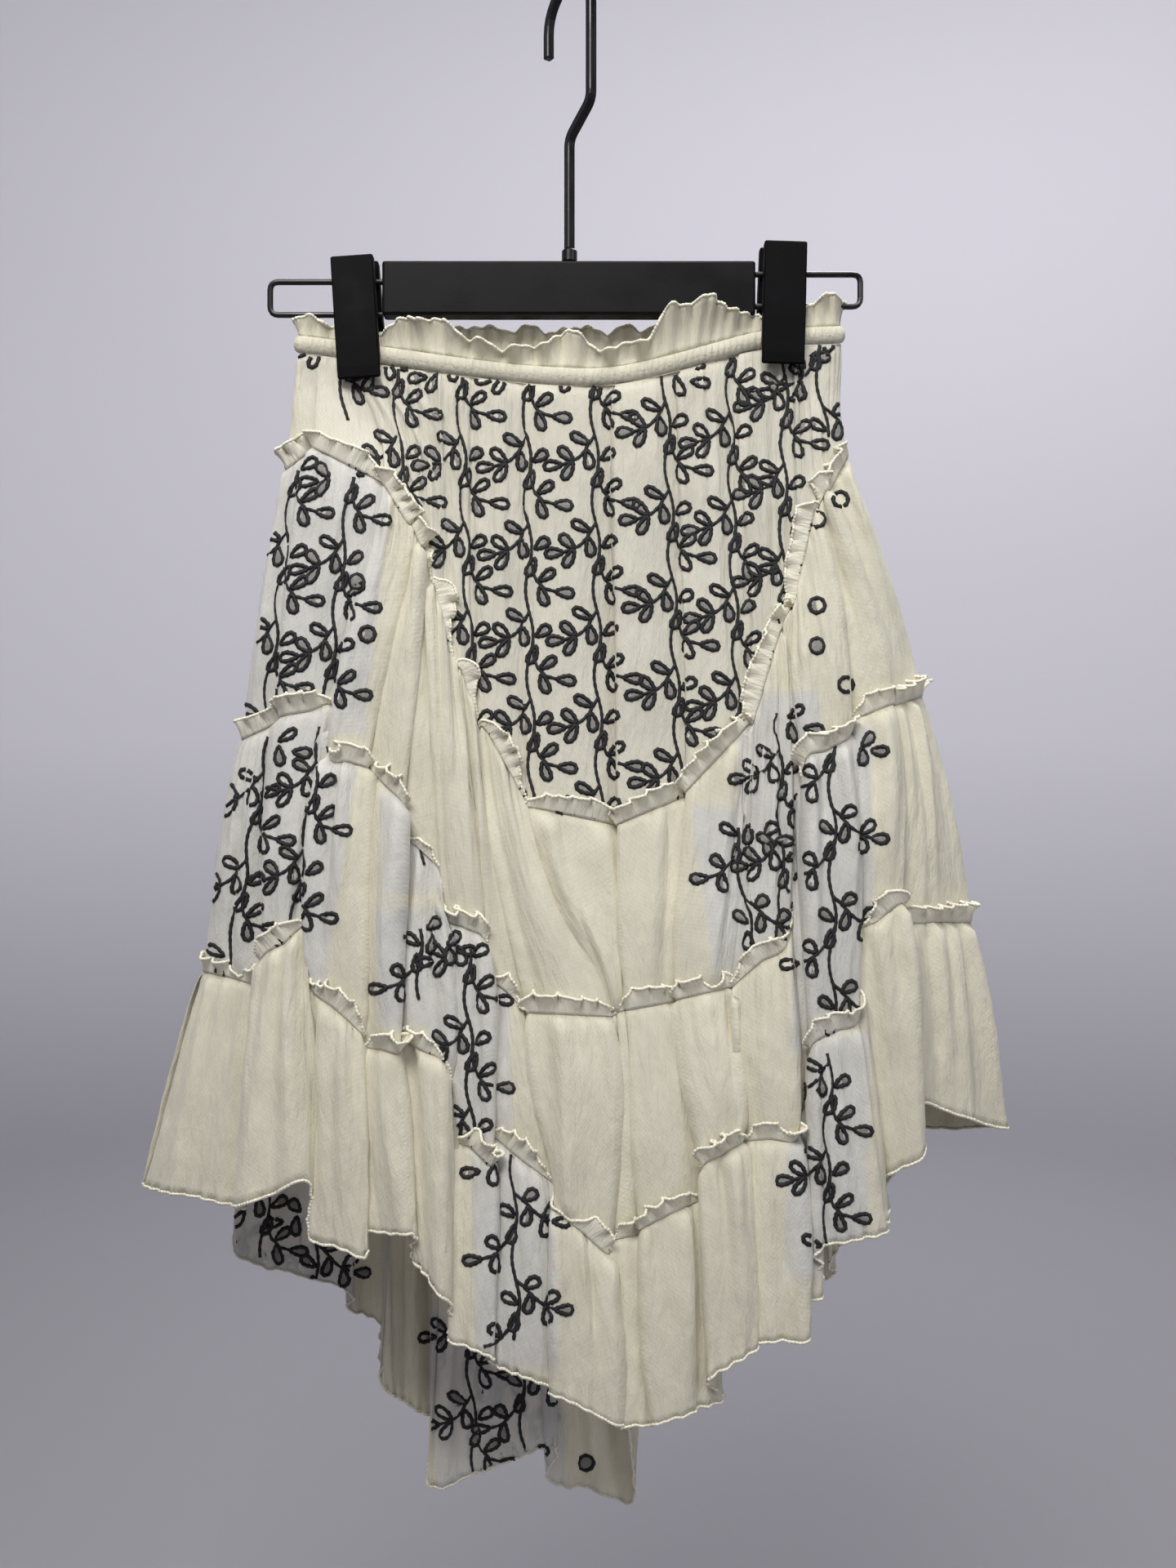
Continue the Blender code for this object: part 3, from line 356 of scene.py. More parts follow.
# Threads, leaves and panels of the embroidery
LEAF_POINTS = 20
RING_POINTS = 16
LEAF_HALF_WIDTH = 3.7
STEM_STEP = 2.2
THREAD_LIFT = 0.6
FILL_LIFT = 0.5
THREAD_FLATNESS = 0.5
CHAIN_THIN = 0.74
FILL_BULGE = 0.15
RING_RADIUS = 4.4
PANEL_HALF_WIDTH = 25.0
PANEL_RISE = 10.0
PANEL_DROP = 12.0
PANEL_SIDE_FADE = 1.5
PANEL_END_FADE = 6.0
YOKE_PANEL_SHARE = 0.3

# Frills in fine steps
CASING_FINE_STEP = 0.8
CASING_FINE_SIDES = 12
WAIST_FRILL_FINE_STEP = 1.2
WAIST_FRILL_FINE_ROWS = 8
CASING_SWELL = 0.6
CLIP_X = 125.0
CLIP_HALF_WIDTH = 13.5
CLIP_FADE = 3.0
RUFFLE_SOFTENING = (-6.0, -3.0, 0.0, 3.0, 6.0)
FRILL_ROWS = 6
FRILL_WAVE = 9.5
FRILL_LENGTH = 12.0
FRILL_LIFT = math.radians(68)
FRILL_CURL = 2.8
FRILL_ROOM_SHARE = 0.75
FRILL_LEAST_SHARE = 0.12
ROOM_COLUMNS = 4
LEAST_STEP = 0.25
HEM_THICKER = 1.1
STITCH_OVER_EDGE = 1.35
STITCH_THICK_SHARE = 0.36

# CAD nodes of the skirt, and those of wire; the rest is the bar and the clips
CLOTH_NODES = ("yoke", "tier", "waist", "seam_frill")
WIRE_NODES = ("hook", "wire", "pin")

# The studio
FRAME_HEIGHT = 931.2
SENSOR = 36.0
FLOOR = -1.25
BOWL_FLAT = 2.4
BOWL_BEND = 0.9
BOWL_BEND_STEPS = 8
BOWL_TOP = 4.2
BOWL_SIDES = 64
# The backdrop's own pale colour, and the painted shade that darkens it towards the floor
WALL_HIGH = (0.66, 0.65, 0.70)
WALL_PAINTED_SHADE = (0.25, 0.245, 0.268)
AIR = (0.88, 0.88, 0.93)
AIR_STRENGTH = 0.13
LAMPS = (
    ("key", (-0.30, -1.15, 0.85), (0.0, 0.0, -0.20), (0.9, 0.7), 28.0, (1.0, 0.985, 0.95)),
    ("back", (0.5, 1.3, 1.5), (0.0, 0.0, -0.45), (0.9, 0.9), 14.0, (1.0, 1.0, 1.0)),
    ("fill", (1.5, -1.6, 0.2), (0.0, 0.0, -0.45), (0.9, 1.0), 7.0, (0.96, 0.98, 1.0)),
    ("top", (0.25, -0.25, 1.25), (0.0, 0.0, -0.4), (0.9, 0.7), 9.0, (1.0, 1.0, 1.0)),
    ("wall", (0.5, 0.9, 1.6), (0.2, 3.2, 0.2), (1.6, 0.8), 46.0, (0.99, 0.98, 1.0)),
)

# Fine surfaces of the tiers, kept for the frills and the embroidery
CUT_OUT = []


# The cloth's form


def seen_to_real(x, drop, y):
    """The real place of a point at depth y that is seen at x and drop."""
    scale = (EYE_DISTANCE + y) / EYE_DISTANCE
    return (EYE_X + (x - EYE_X) * scale, y, EYE_Z + (-drop - EYE_Z) * scale)


def unit(vectors):
    """Vectors made one long."""
    return vectors / np.linalg.norm(vectors, axis=-1, keepdims=True)


def length_along(line):
    """How far along a line each of its points lies."""
    return np.concatenate([[0.0], np.cumsum(np.linalg.norm(np.diff(line, axis=0), axis=1))])


def ease(share):
    """From 0 to 1 with level ends."""
    share = np.clip(share, 0.0, 1.0)
    return share * share * (3.0 - 2.0 * share)


def waist_depth(x):
    """Half the thickness of the waist: flat at the clips and outside them, open between."""
    opening = ease((CLIPPED_FROM - np.abs(x)) / WAIST_OPENS_OVER)
    return CLIPPED_DEPTH + (WAIST_DEPTH - CLIPPED_DEPTH) * opening


def waist_drop(x, side):
    """How far below the seat of the hook the middle of the casing is seen at x."""
    across = [point.x for point in WAIST_LINE]
    drops = [point.front if side == FRONT else point.back for point in WAIST_LINE]
    return sum(np.interp(x + step, across, drops) for step in WAIST_SOFTENING) / len(WAIST_SOFTENING)


def waist_path(side, step):
    """The middle line of one half of the casing, its ways out, and x as seen, seam to seam."""
    radius = CLIPPED_DEPTH - GAP / 2
    straight = WAIST_HALF_WIDTH - radius
    turn = np.linspace(0.0, math.pi / 2, SIDE_TURN_STEPS + 1)
    steps = round(2 * straight / step)
    x_inner = np.linspace(-straight, straight, steps + 1)[1:-1]
    slope = (waist_depth(x_inner + 1.0) - waist_depth(x_inner - 1.0)) / 2.0
    x = np.concatenate([-straight - radius * np.cos(turn), x_inner, straight + radius * np.cos(turn[::-1])])
    depth = np.concatenate(
        [GAP / 2 + radius * np.sin(turn), waist_depth(x_inner), GAP / 2 + radius * np.sin(turn[::-1])]
    )
    out_x = np.concatenate([-np.cos(turn), -slope, np.cos(turn[::-1])])
    out_depth = np.concatenate([np.sin(turn), np.ones_like(slope), np.sin(turn[::-1])])
    middle = np.array(
        [seen_to_real(a, waist_drop(a, side), -side * b) for a, b in zip(x, depth)]
    )
    outward = unit(np.stack([out_x, -side * out_depth, np.zeros_like(out_x)], axis=1))
    return middle, outward, x


def ring_faces(count, ring, side):
    """Faces of a closed tube of count rings, with its two caps."""
    faces = [tuple(range(ring)), tuple(reversed(range((count - 1) * ring, count * ring)))]
    for row in range(count - 1):
        for k in range(ring):
            after = (k + 1) % ring
            faces.append(
                (row * ring + k, (row + 1) * ring + k, (row + 1) * ring + after, row * ring + after)
            )
    return faces if side == FRONT else [tuple(reversed(face)) for face in faces]


def blend(a, b, c, d, share):
    """A smooth curve from b to c, with a before them and d after them."""
    return 0.5 * (
        2 * b
        + (c - a) * share
        + (2 * a - 5 * b + 4 * c - d) * share**2
        + (3 * b - a - 3 * c + d) * share**3
    )


def at_level(values, t):
    """A value given at the waist, the seams and the hem, read anywhere between them."""
    row = [2 * values[0] - values[1], *values, 2 * values[-1] - values[-2]]
    level = min(int(t), TIERS - 1)
    return blend(*row[level : level + 4], t - level)


def half_depth(x, t, folds):
    """Half the thickness of the skirt at t, round at the sides."""
    left = at_level(folds[0].across, t)
    right = at_level(folds[-1].across, t)
    off_centre = abs(x - (left + right) / 2) / ((right - left) / 2)
    share = max(0.0, 1.0 - off_centre**ROUNDNESS) ** (1.0 / ROUNDNESS)
    body = at_level(DEPTH_AT_LEVEL, t) * share
    below_waist = min(t, 1.0)
    return body * below_waist + float(waist_depth(x)) * (1.0 - below_waist)


def waist_top(x, side):
    """Drop of the upper edge of the yoke."""
    return float(waist_drop(x, side)) + CASING_HEIGHT / 2 + CASING_GAP


def fold_ends(folds, number, t, side):
    """Where the piece left of a fold ends, and where the piece right of it starts.

    Under a lap deeper than TUCK_START the hidden piece runs on behind the one in front. Under a
    shallower one they stand apart, where the next folds leave room.
    """
    fold = folds[number]
    lap = at_level(fold.lap, t)
    x = at_level(fold.across, t)
    room = min(x - at_level(folds[number - 1].across, t), at_level(folds[number + 1].across, t) - x)
    tuck = TUCK_SHARE * max(abs(lap) - TUCK_START, -ROOM_SHARE * room)
    left_behind = float(ease(0.5 - lap / TUCK_START / 2))
    left_x = x + tuck * left_behind
    right_x = x - tuck * (1.0 - left_behind)
    left_drop = at_level((waist_top(left_x, side), *fold.left), t)
    right_drop = at_level((waist_top(right_x, side), *fold.right), t)
    depth = half_depth(x, t, folds)
    return (left_x, left_drop, depth + lap / 2), (right_x, right_drop, depth - lap / 2)


def crown_between(start, end, t, side):
    """The middle of the piece of cloth between two folds, which bellies out a little."""
    belly = min(CROWN_MOST, CROWN_SHARE * abs(end[0] - start[0]))
    x, drop, depth = ((a + b) / 2 for a, b in zip(start, end))
    if t == 0:
        return x, waist_top(x, side), float(waist_depth(x))
    return x, drop, depth + belly


def side_seam(fold, t, side):
    x = at_level(fold.across, t)
    return x, at_level((waist_top(x, side), *fold.left), t), GAP / 2


def cross_section(folds, t, side):
    """Points along one side of the skirt at t, with one more past each side seam."""
    start = side_seam(folds[0], t, side)
    seen = [start]
    for number in range(1, len(folds) - 1):
        left_end, right_start = fold_ends(folds, number, t, side)
        seen += [crown_between(start, left_end, t, side), left_end, right_start]
        start = right_start
    end = side_seam(folds[-1], t, side)
    seen += [crown_between(start, end, t, side), end]
    points = [seen_to_real(x, drop, -side * depth) for x, drop, depth in seen]
    before = (points[1][0], -points[1][1], points[1][2])
    after = (points[-2][0], -points[-2][1], points[-2][2])
    return [before, *points, after]


class Cloth:
    """One side of the skirt: u counts along the fold points, t goes from the waist to the hem."""

    def __init__(self, folds, side):
        self.folds = folds
        self.side = side
        levels = np.linspace(0.0, TIERS, TIERS * SECTIONS_A_TIER + 1)
        net = np.array([cross_section(folds, t, side) for t in levels])
        above = 2 * net[0] - net[1]
        below = 2 * net[-1] - net[-2]
        self.net = np.swapaxes(np.array([above, *net, below]), 0, 1)
        self.spans = len(self.net) - 3

    def plain(self, u, t):
        """Points for each u and for each row of t, before the tiers puff out."""
        first = np.clip(np.floor(u).astype(int), 0, self.spans - 1)
        share = (u - first)[:, None, None]
        columns = blend(*(self.net[first + k] for k in range(4)), share)
        section = t * SECTIONS_A_TIER
        level = np.clip(np.floor(section).astype(int), 0, TIERS * SECTIONS_A_TIER - 1)
        share = (section - level)[..., None]
        place = np.arange(len(u))
        return blend(*(columns[place, level + k] for k in range(4)), share)

    def outward(self, u, t):
        along = self.plain(np.minimum(u + SLOPE_STEP, self.spans), t)
        along = along - self.plain(np.maximum(u - SLOPE_STEP, 0), t)
        down = self.plain(u, np.minimum(t + SLOPE_STEP, TIERS))
        down = down - self.plain(u, np.maximum(t - SLOPE_STEP, 0))
        return unit(np.cross(down, along)) * self.side


# Materials


def new_material(name, colour, roughness):
    """A plain material, and its shader."""
    made = bpy.data.materials.new(name)
    made.use_nodes = True
    made.diffuse_color = (*colour, 1.0)
    shader = made.node_tree.nodes["Principled BSDF"]
    shader.inputs["Base Color"].default_value = (*colour, 1.0)
    shader.inputs["Roughness"].default_value = roughness
    return made, shader


def node(tree, kind, label, **inputs):
    """A node with its inputs set by name, from numbers, colours or other sockets."""
    made = tree.nodes.new(kind)
    made.label = label
    for name, value in inputs.items():
        socket = made.inputs[name.replace("_", " ")]
        if isinstance(value, bpy.types.NodeSocket):
            tree.links.new(value, socket)
        else:
            socket.default_value = value
    return made


def ramp(tree, factor, low, high, label):
    """The factor, stretched so that low becomes 0 and high becomes 1."""
    stretched = node(tree, "ShaderNodeMapRange", label, Value=factor, From_Min=low, From_Max=high)
    return stretched.outputs["Result"]


def mixed(tree, factor, first, second, label, blend="MIX"):
    """Two colours mixed by a factor; each may be a value or another socket."""
    made = tree.nodes.new("ShaderNodeMix")
    made.label = label
    made.data_type = "RGBA"
    made.blend_type = blend
    for place, value in ((0, factor), (6, first), (7, second)):
        if isinstance(value, bpy.types.NodeSocket):
            tree.links.new(value, made.inputs[place])
        else:
            made.inputs[place].default_value = value
    return made.outputs[2]


def cloth_material(name, cream_colour):
    """Crinkled mesh cloth, paler and greyer where it is embroidered."""
    made, shader = new_material(name, cream_colour, 0.86)
    tree = made.node_tree
    uv = node(tree, "ShaderNodeUVMap", "cloth").outputs["UV"]
    place = node(tree, "ShaderNodeTexCoord", "place").outputs["Object"]
    panel = node(tree, "ShaderNodeAttribute", "embroidered panel")
    panel.attribute_name = "panel"
    shade = node(tree, "ShaderNodeTexNoise", "uneven dye", Vector=place, Scale=38.0, Detail=5.0)
    shade = ramp(tree, shade.outputs["Fac"], 0.3, 0.7, "uneven dye")
    dark = (*[c * 0.90 for c in cream_colour], 1.0)
    light = (*[min(c * 1.06, 1.0) for c in cream_colour], 1.0)
    cream = mixed(tree, shade, dark, light, "cream")
    dark = (*[c * 0.90 for c in PALE_PANEL], 1.0)
    light = (*[c * 1.08 for c in PALE_PANEL], 1.0)
    pale = mixed(tree, shade, dark, light, "panel")
    colour = mixed(tree, panel.outputs["Fac"], cream, pale, "cream or panel")
    threads = []
    for turn in (math.radians(40), math.radians(-40)):
        way = node(tree, "ShaderNodeMapping", "thread way", Vector=uv, Rotation=(0.0, 0.0, turn))
        way = way.outputs["Vector"]
        wave = node(tree, "ShaderNodeTexWave", "threads", Vector=way, Scale=190.0, Distortion=0.6)
        threads.append(wave.outputs["Fac"])
    weave = node(tree, "ShaderNodeMath", "weave")
    weave.operation = "MULTIPLY"
    for place_in, thread in zip(weave.inputs, threads):
        tree.links.new(thread, place_in)
    raised = ramp(tree, weave.outputs[0], 0.0, 1.0, "holes")
    colour = mixed(tree, raised, colour, (1.0, 0.99, 0.96, 1.0), "thread", "MULTIPLY")
    # Painted shade: the holes of the weave are made a little darker
    depth = ramp(tree, weave.outputs[0], 0.0, 0.5, "hole depth")
    holes = mixed(tree, depth, (0.95, 0.945, 0.935, 1.0), (1.0, 1.0, 1.0, 1.0), "hole shade")
    colour = mixed(tree, 1.0, colour, holes, "holes darken", "MULTIPLY")
    tree.links.new(colour, shader.inputs["Base Color"])
    stretched = node(tree, "ShaderNodeMapping", "creases run down", Vector=uv, Scale=(260.0, 55.0, 1.0))
    crinkle = node(
        tree, "ShaderNodeTexNoise", "crinkle", Vector=stretched.outputs["Vector"], Scale=1.0, Detail=5.0,
        Roughness=0.6,
    ).outputs["Fac"]
    coarse = node(tree, "ShaderNodeBump", "crinkle bump", Height=crinkle, Strength=0.8, Distance=0.0022)
    fine = node(
        tree, "ShaderNodeBump", "weave bump", Height=weave.outputs[0], Strength=0.2, Distance=0.0003,
        Normal=coarse.outputs["Normal"],
    )
    tree.links.new(fine.outputs["Normal"], shader.inputs["Normal"])
    shader.inputs["Sheen Weight"].default_value = 0.25
    shader.inputs["Subsurface Weight"].default_value = 0.18
    shader.inputs["Subsurface Radius"].default_value = (0.004, 0.0034, 0.0025)
    shader.inputs["Subsurface Scale"].default_value = 1.0
    return made


def thread_material(name, colour, roughness, scale, strength):
    """Sewn thread, with the twist of its strands in the bump, and painted shade and highlight in its colour
    that follow the bump.
    """
    made, shader = new_material(name, colour, roughness)
    tree = made.node_tree
    place = node(tree, "ShaderNodeTexCoord", "place").outputs["Object"]
    strand = node(tree, "ShaderNodeTexNoise", "strands", Vector=place, Scale=scale, Detail=3.0).outputs["Fac"]
    # Painted shade and highlight: darker where the strand bump is low, paler where it is high
    shade = ramp(tree, strand, 0.35, 0.65, "painted strand shade")
    dark = (*[c * 0.82 for c in colour], 1.0)
    light = (*[min(c * 1.12 + 0.002, 1.0) for c in colour], 1.0)
    tree.links.new(mixed(tree, shade, dark, light, "thread colour"), shader.inputs["Base Color"])
    bump = node(tree, "ShaderNodeBump", "strand bump", Height=strand, Strength=strength, Distance=0.0006)
    tree.links.new(bump.outputs["Normal"], shader.inputs["Normal"])
    return made


def overlock_thread():
    return thread_material("cream overlock", EDGE_THREAD_AND_LIT_FRILL_CREAM, 0.8, 900.0, 0.5)


def hanger_material(name, roughness, shine, grain):
    """Black enamel with a faint grain and rubbed, duller places."""
    made, shader = new_material(name, HANGER_BLACK, roughness)
    tree = made.node_tree
    place = node(tree, "ShaderNodeTexCoord", "place").outputs["Object"]
    rub = node(tree, "ShaderNodeTexNoise", "rubbed places", Vector=place, Scale=38.0, Detail=5.0)
    rough = node(
        tree, "ShaderNodeMapRange", "dull to bright", Value=rub.outputs["Fac"], From_Min=0.35, From_Max=0.65,
        To_Min=roughness - 0.07, To_Max=roughness + 0.1,
    )
    tree.links.new(rough.outputs["Result"], shader.inputs["Roughness"])
    light = (*[c * 1.9 for c in HANGER_BLACK], 1.0)
    wear = ramp(tree, rub.outputs["Fac"], 0.45, 0.75, "wear")
    colour = mixed(tree, wear, (*HANGER_BLACK, 1.0), light, "worn black")
    tree.links.new(colour, shader.inputs["Base Color"])
    peel = node(tree, "ShaderNodeTexNoise", "grain", Vector=place, Scale=grain, Detail=2.0).outputs["Fac"]
    bump = node(tree, "ShaderNodeBump", "grain bump", Height=peel, Strength=0.12, Distance=0.0003)
    tree.links.new(bump.outputs["Normal"], shader.inputs["Normal"])
    shader.inputs["Specular IOR Level"].default_value = shine
    return made


# Meshes


def mesh_piece(name, points, faces, finish):
    """One piece of the object from points in millimetres."""
    mesh = bpy.data.meshes.new(name)
    mesh.from_pydata(np.asarray(points, dtype=float) * MM, [], faces)
    mesh.shade_smooth()
    mesh.materials.append(finish)
    thing = bpy.data.objects.new(name, mesh)
    bpy.context.scene.collection.objects.link(thing)
    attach(thing, "root")
    return thing


def grid_faces(rows, columns, side, start=0):
    """Faces of a sheet of rows and columns, turned to look out of its side."""
    faces = []
    for i in range(rows - 1):
        for j in range(columns - 1):
            a, b = start + i * columns + j, start + (i + 1) * columns + j
            face = (a, b, b + 1, a + 1)
            faces.append(face if side == FRONT else tuple(reversed(face)))
    return faces


def add_cloth_map(thing, across, down, panel):
    """The cloth's own lengths as a UV map, and the embroidered panel as an attribute."""
    mesh = thing.data
    corners = np.empty(len(mesh.loops), dtype=np.int64)
    mesh.loops.foreach_get("vertex_index", corners)
    uv = np.stack([across.ravel()[corners], down.ravel()[corners]], axis=1) * MM
    mesh.uv_layers.new(name="UVMap").data.foreach_set("uv", uv.ravel().astype(np.float32))
    layer = mesh.attributes.new("panel", "FLOAT", "POINT")
    layer.data.foreach_set("value", panel.ravel().astype(np.float32))


def thicken(thing, thickness):
    wall = thing.modifiers.new("Wall", "SOLIDIFY")
    wall.thickness = thickness * MM
    wall.offset = 0.0
    bpy.context.view_layer.update()
    plain_mesh(thing)


def plain_mesh(thing):
    """The mesh as its modifiers make it, with the modifiers gone."""
    evaluated = thing.evaluated_get(bpy.context.evaluated_depsgraph_get())
    made = bpy.data.meshes.new_from_object(evaluated)
    thing.modifiers.clear()
    thing.data = made
    made.name = thing.name


def tube_points(path, normals, half_width, half_height):
    """Four-sided tube rings along a path that lies on cloth."""
    along = unit(np.gradient(path, axis=0))
    sideways = unit(np.cross(normals, along))
    upward = unit(np.cross(along, sideways))
    width = np.asarray(half_width).reshape(-1, 1)
    height = np.asarray(half_height).reshape(-1, 1)
    ring = [sideways * width, upward * height, -sideways * width, -upward * height]
    return np.stack([path + step for step in ring], axis=1).reshape(-1, 3)


def tube_faces(count, start, closed):
    """Faces of a tube of count four-sided rings, closed into a ring or with two ends."""
    faces = []
    for row in range(count if closed else count - 1):
        a, b = start + 4 * row, start + 4 * ((row + 1) % count)
        faces += [(a + k, a + (k + 1) % 4, b + (k + 1) % 4, b + k) for k in range(4)]
    if not closed:
        last = start + 4 * (count - 1)
        faces += [(start + 3, start + 2, start + 1, start), (last, last + 1, last + 2, last + 3)]
    return faces


def seen_from(points, eye_y):
    """x and drop in the plane of the hanger, as an eye in front or behind sees points."""
    scale = eye_y / (eye_y - points[..., 1])
    x = EYE_X + (points[..., 0] - EYE_X) * scale
    return x, -(EYE_Z + (points[..., 2] - EYE_Z) * scale)


def sight(x, drop, eye_y, tree):
    """Where a line of sight first meets the cloth, and which face it is."""
    eye = Vector((EYE_X, eye_y, EYE_Z))
    way = Vector((x, 0.0, -drop)) - eye
    place, normal, face, _ = tree.ray_cast(eye, way.normalized())
    if place is None:
        return None
    if normal.dot(way) > 0:
        normal = -normal
    return place, normal, face


class FineTier:
    """The fine surface of one tier on one side."""

    def __init__(self, cloth, tier, step, row_step):
        self.cloth = cloth
        self.tier = tier
        self.u = fine_places(cloth, step)
        middle = cloth.plain(self.u, np.full((1, len(self.u)), tier + 0.5))[0]
        self.across = length_along(middle)
        top, bottom = (cloth.plain(self.u, np.full((1, len(self.u)), tier + end))[0] for end in (0.0, 1.0))
        self.height = np.linalg.norm(bottom - top, axis=1)
        rows = max(12, round(float(self.height.max()) / row_step))
        self.share = np.linspace(0.0, 1.0, rows + 1)[:, None]
        self.points = self.surface(self.u, np.repeat(self.share, len(self.u), axis=1))

    def surface(self, u, share):
        t = self.tier + np.clip(share, SEAM_INSET, 1.0 - SEAM_INSET)
        outward = self.cloth.outward(u, t)
        across = np.interp(u, self.u, self.across)
        height = np.interp(u, self.u, self.height)
        rise = TIER_PUFF[self.tier] * np.sin(math.pi * share)
        rise = rise + self.gathers(across, share, height)
        if self.tier == 0:
            rise = rise + self.pulls(u, share)
        if self.tier == TIERS - 1:
            rise = rise + self.hem_wave(across, share, height)
        return self.cloth.plain(u, t) + outward * rise[..., None]

    def gathers(self, across, share, height):
        """Folds and creases that fade on the way down, and the crinkle between them."""
        chance = np.random.RandomState(GATHER_SEED + self.tier * 2 + (self.cloth.side == BACK))
        total = self.across[-1]
        rise = np.zeros(share.shape)
        for gather in GATHERS[self.tier]:
            place = GATHER_MARGIN
            while place < total - GATHER_MARGIN:
                reach = gather.reach * chance.uniform(0.4, 1.3)
                width = gather.width * chance.uniform(0.7, 1.4)
                tall = gather.height * chance.uniform(0.4, 1.4)
                slant = chance.uniform(-0.07, 0.07)
                spread = width * (1.0 + GATHER_OPENS * share)
                off = (across[None] - place - slant * share * height[None]) / spread
                fade = 1.0 - ease((share - 0.2 * reach) / reach)
                rise += tall * np.exp(-(off**2)) * fade * ease(share * height[None] / GATHER_STARTS_OVER)
                place += gather.space + chance.uniform(-gather.spread, gather.spread)
        if self.tier < TIERS - 1:
            rise *= ease((1.0 - share) * height[None] / GATHER_ENDS_OVER)
        return rise + self.crinkle(across[None], share * height[None]) * np.sin(math.pi * share) ** 0.5

    def crinkle(self, across, down):
        """Fine creases that wander on their way down."""
        wobble = np.sin(down / 9.0 + across / 31.0) + 0.6 * np.sin(down / 5.3 - across / 17.0)
        creases = np.sin(across / 2.1 + 1.3 * wobble) + 0.7 * np.sin(across / 3.4 - 1.7 * wobble + 2.0)
        return 0.5 * CRINKLE[self.tier] * creases

    def hem_wave(self, across, share, height):
        """The lettuce edge that the rolled hem pulls the cloth into."""
        near = ease(1.0 - (1.0 - share) * height[None] / HEM_WAVE_REACH)
        wave = np.sin(2 * math.pi * across / HEM_WAVE + 1.6 * np.sin(across / 19.0))
        return HEM_WAVE_HEIGHT * near * (wave * (0.65 + 0.35 * np.sin(across / 27.0)))[None]

    def pulls(self, u, share):
        """Drag lines that run down from the waist."""
        x = self.cloth.plain(u, np.full((1, len(u)), 0.5))[0][:, 0][None]
        rise = np.zeros(share.shape)
        for pull in PULLS:
            if pull.side != self.cloth.side:
                continue
            line = pull.top + (pull.bottom - pull.top) * share / pull.reach
            body = ease(share / 0.08) * (1.0 - ease((share - 0.5 * pull.reach) / (0.5 * pull.reach)))
            rise += pull.height * np.exp(-(((x - line) / pull.width) ** 2)) * body
        return rise


def fine_places(cloth, step):
    """Places u about a step apart all along the cloth."""
    levels = cloth.net[1:-1, 1:-1]
    lengths = np.linalg.norm(np.diff(levels, axis=0), axis=2).max(axis=1)
    counts = [max(2, round(length / step)) for length in lengths]
    places = [np.linspace(k, k + 1, count + 1)[:-1] for k, count in enumerate(counts)]
    return np.concatenate([*places, [float(cloth.spans)]])


# Cloth pieces


def sides():
    return [Cloth(FRONT_FOLDS, FRONT), Cloth(BACK_FOLDS, BACK)]


def apart(line):
    """Which points of a line stand clear of the one before them."""
    return np.concatenate([[True], np.linalg.norm(np.diff(line, axis=0), axis=1) > LEAST_STEP])


def eye_of(side, inside):
    """y of the eye that sees a side's embroidery: in front of the skirt, or behind it."""
    return -EYE_DISTANCE if inside or side == FRONT else EYE_DISTANCE


def panel_share(tier):
    """How much of each point lies on an embroidered panel."""
    share = np.zeros(tier.points.shape[:2])
    for vine in VINES:
        if vine.side != tier.cloth.side or vine.tier != tier.tier:
            continue
        x, drop = seen_from(tier.points, eye_of(vine.side, vine.inside))
        along = np.clip((drop - vine.top) / (vine.bottom - vine.top), 0.0, 1.0)
        off = np.abs(x - vine.x_top - (vine.x_bottom - vine.x_top) * along)
        above, below = vine.top - PANEL_RISE - drop, drop - vine.bottom - PANEL_DROP
        beyond = np.maximum(np.maximum(above, below), 0.0)
        inside = ease((PANEL_HALF_WIDTH - off) / PANEL_SIDE_FADE) * ease(1.0 - beyond / PANEL_END_FADE)
        share = np.maximum(share, inside)
    return share * YOKE_PANEL_SHARE if tier.tier == 0 else share


def make_fine_tier(cloth, tier, props, finish):
    """The cloth of one tier on one side, in place of its solid."""
    fine = FineTier(cloth, tier, props.column_step / MM, props.row_step / MM)
    rows, columns = fine.points.shape[:2]
    name = TIER_NAMES[tier]
    side_name = SIDE_NAMES[cloth.side]
    faces = grid_faces(rows, columns, cloth.side)
    thing = mesh_piece(f"{name}_{side_name}_cloth", fine.points.reshape(-1, 3), faces, finish)
    across = np.repeat(fine.across[None], rows, axis=0)
    add_cloth_map(thing, across, -fine.share * fine.height[None], panel_share(fine))
    thicken(thing, props.thickness / MM)
    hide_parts(f"{name}_{side_name}")
    return fine


def sight_trees():
    """A search tree of each side's cloth, and the tier of each of its faces."""
    if not CUT_OUT:
        raise RuntimeError("Make the tiers first")
    trees = {}
    for side in (FRONT, BACK):
        points, faces, tiers = [], [], []
        for fine in (fine for fine in CUT_OUT if fine.cloth.side == side):
            rows, columns = fine.points.shape[:2]
            added = grid_faces(rows, columns, side, start=len(points))
            points += [tuple(point) for point in fine.points.reshape(-1, 3)]
            faces += added
            tiers += [fine.tier] * len(added)
        trees[side] = (BVHTree.FromPolygons(points, faces), tiers)
    return trees


def edge_bead(name, line, normals, radius, finish):
    """The thin corded edge of a frill or of the hem."""
    thick = np.full(len(line), radius)
    faces = tube_faces(len(line), 0, closed=False)
    bead = mesh_piece(name, tube_points(line, normals, thick, thick), faces, finish)
    return bead


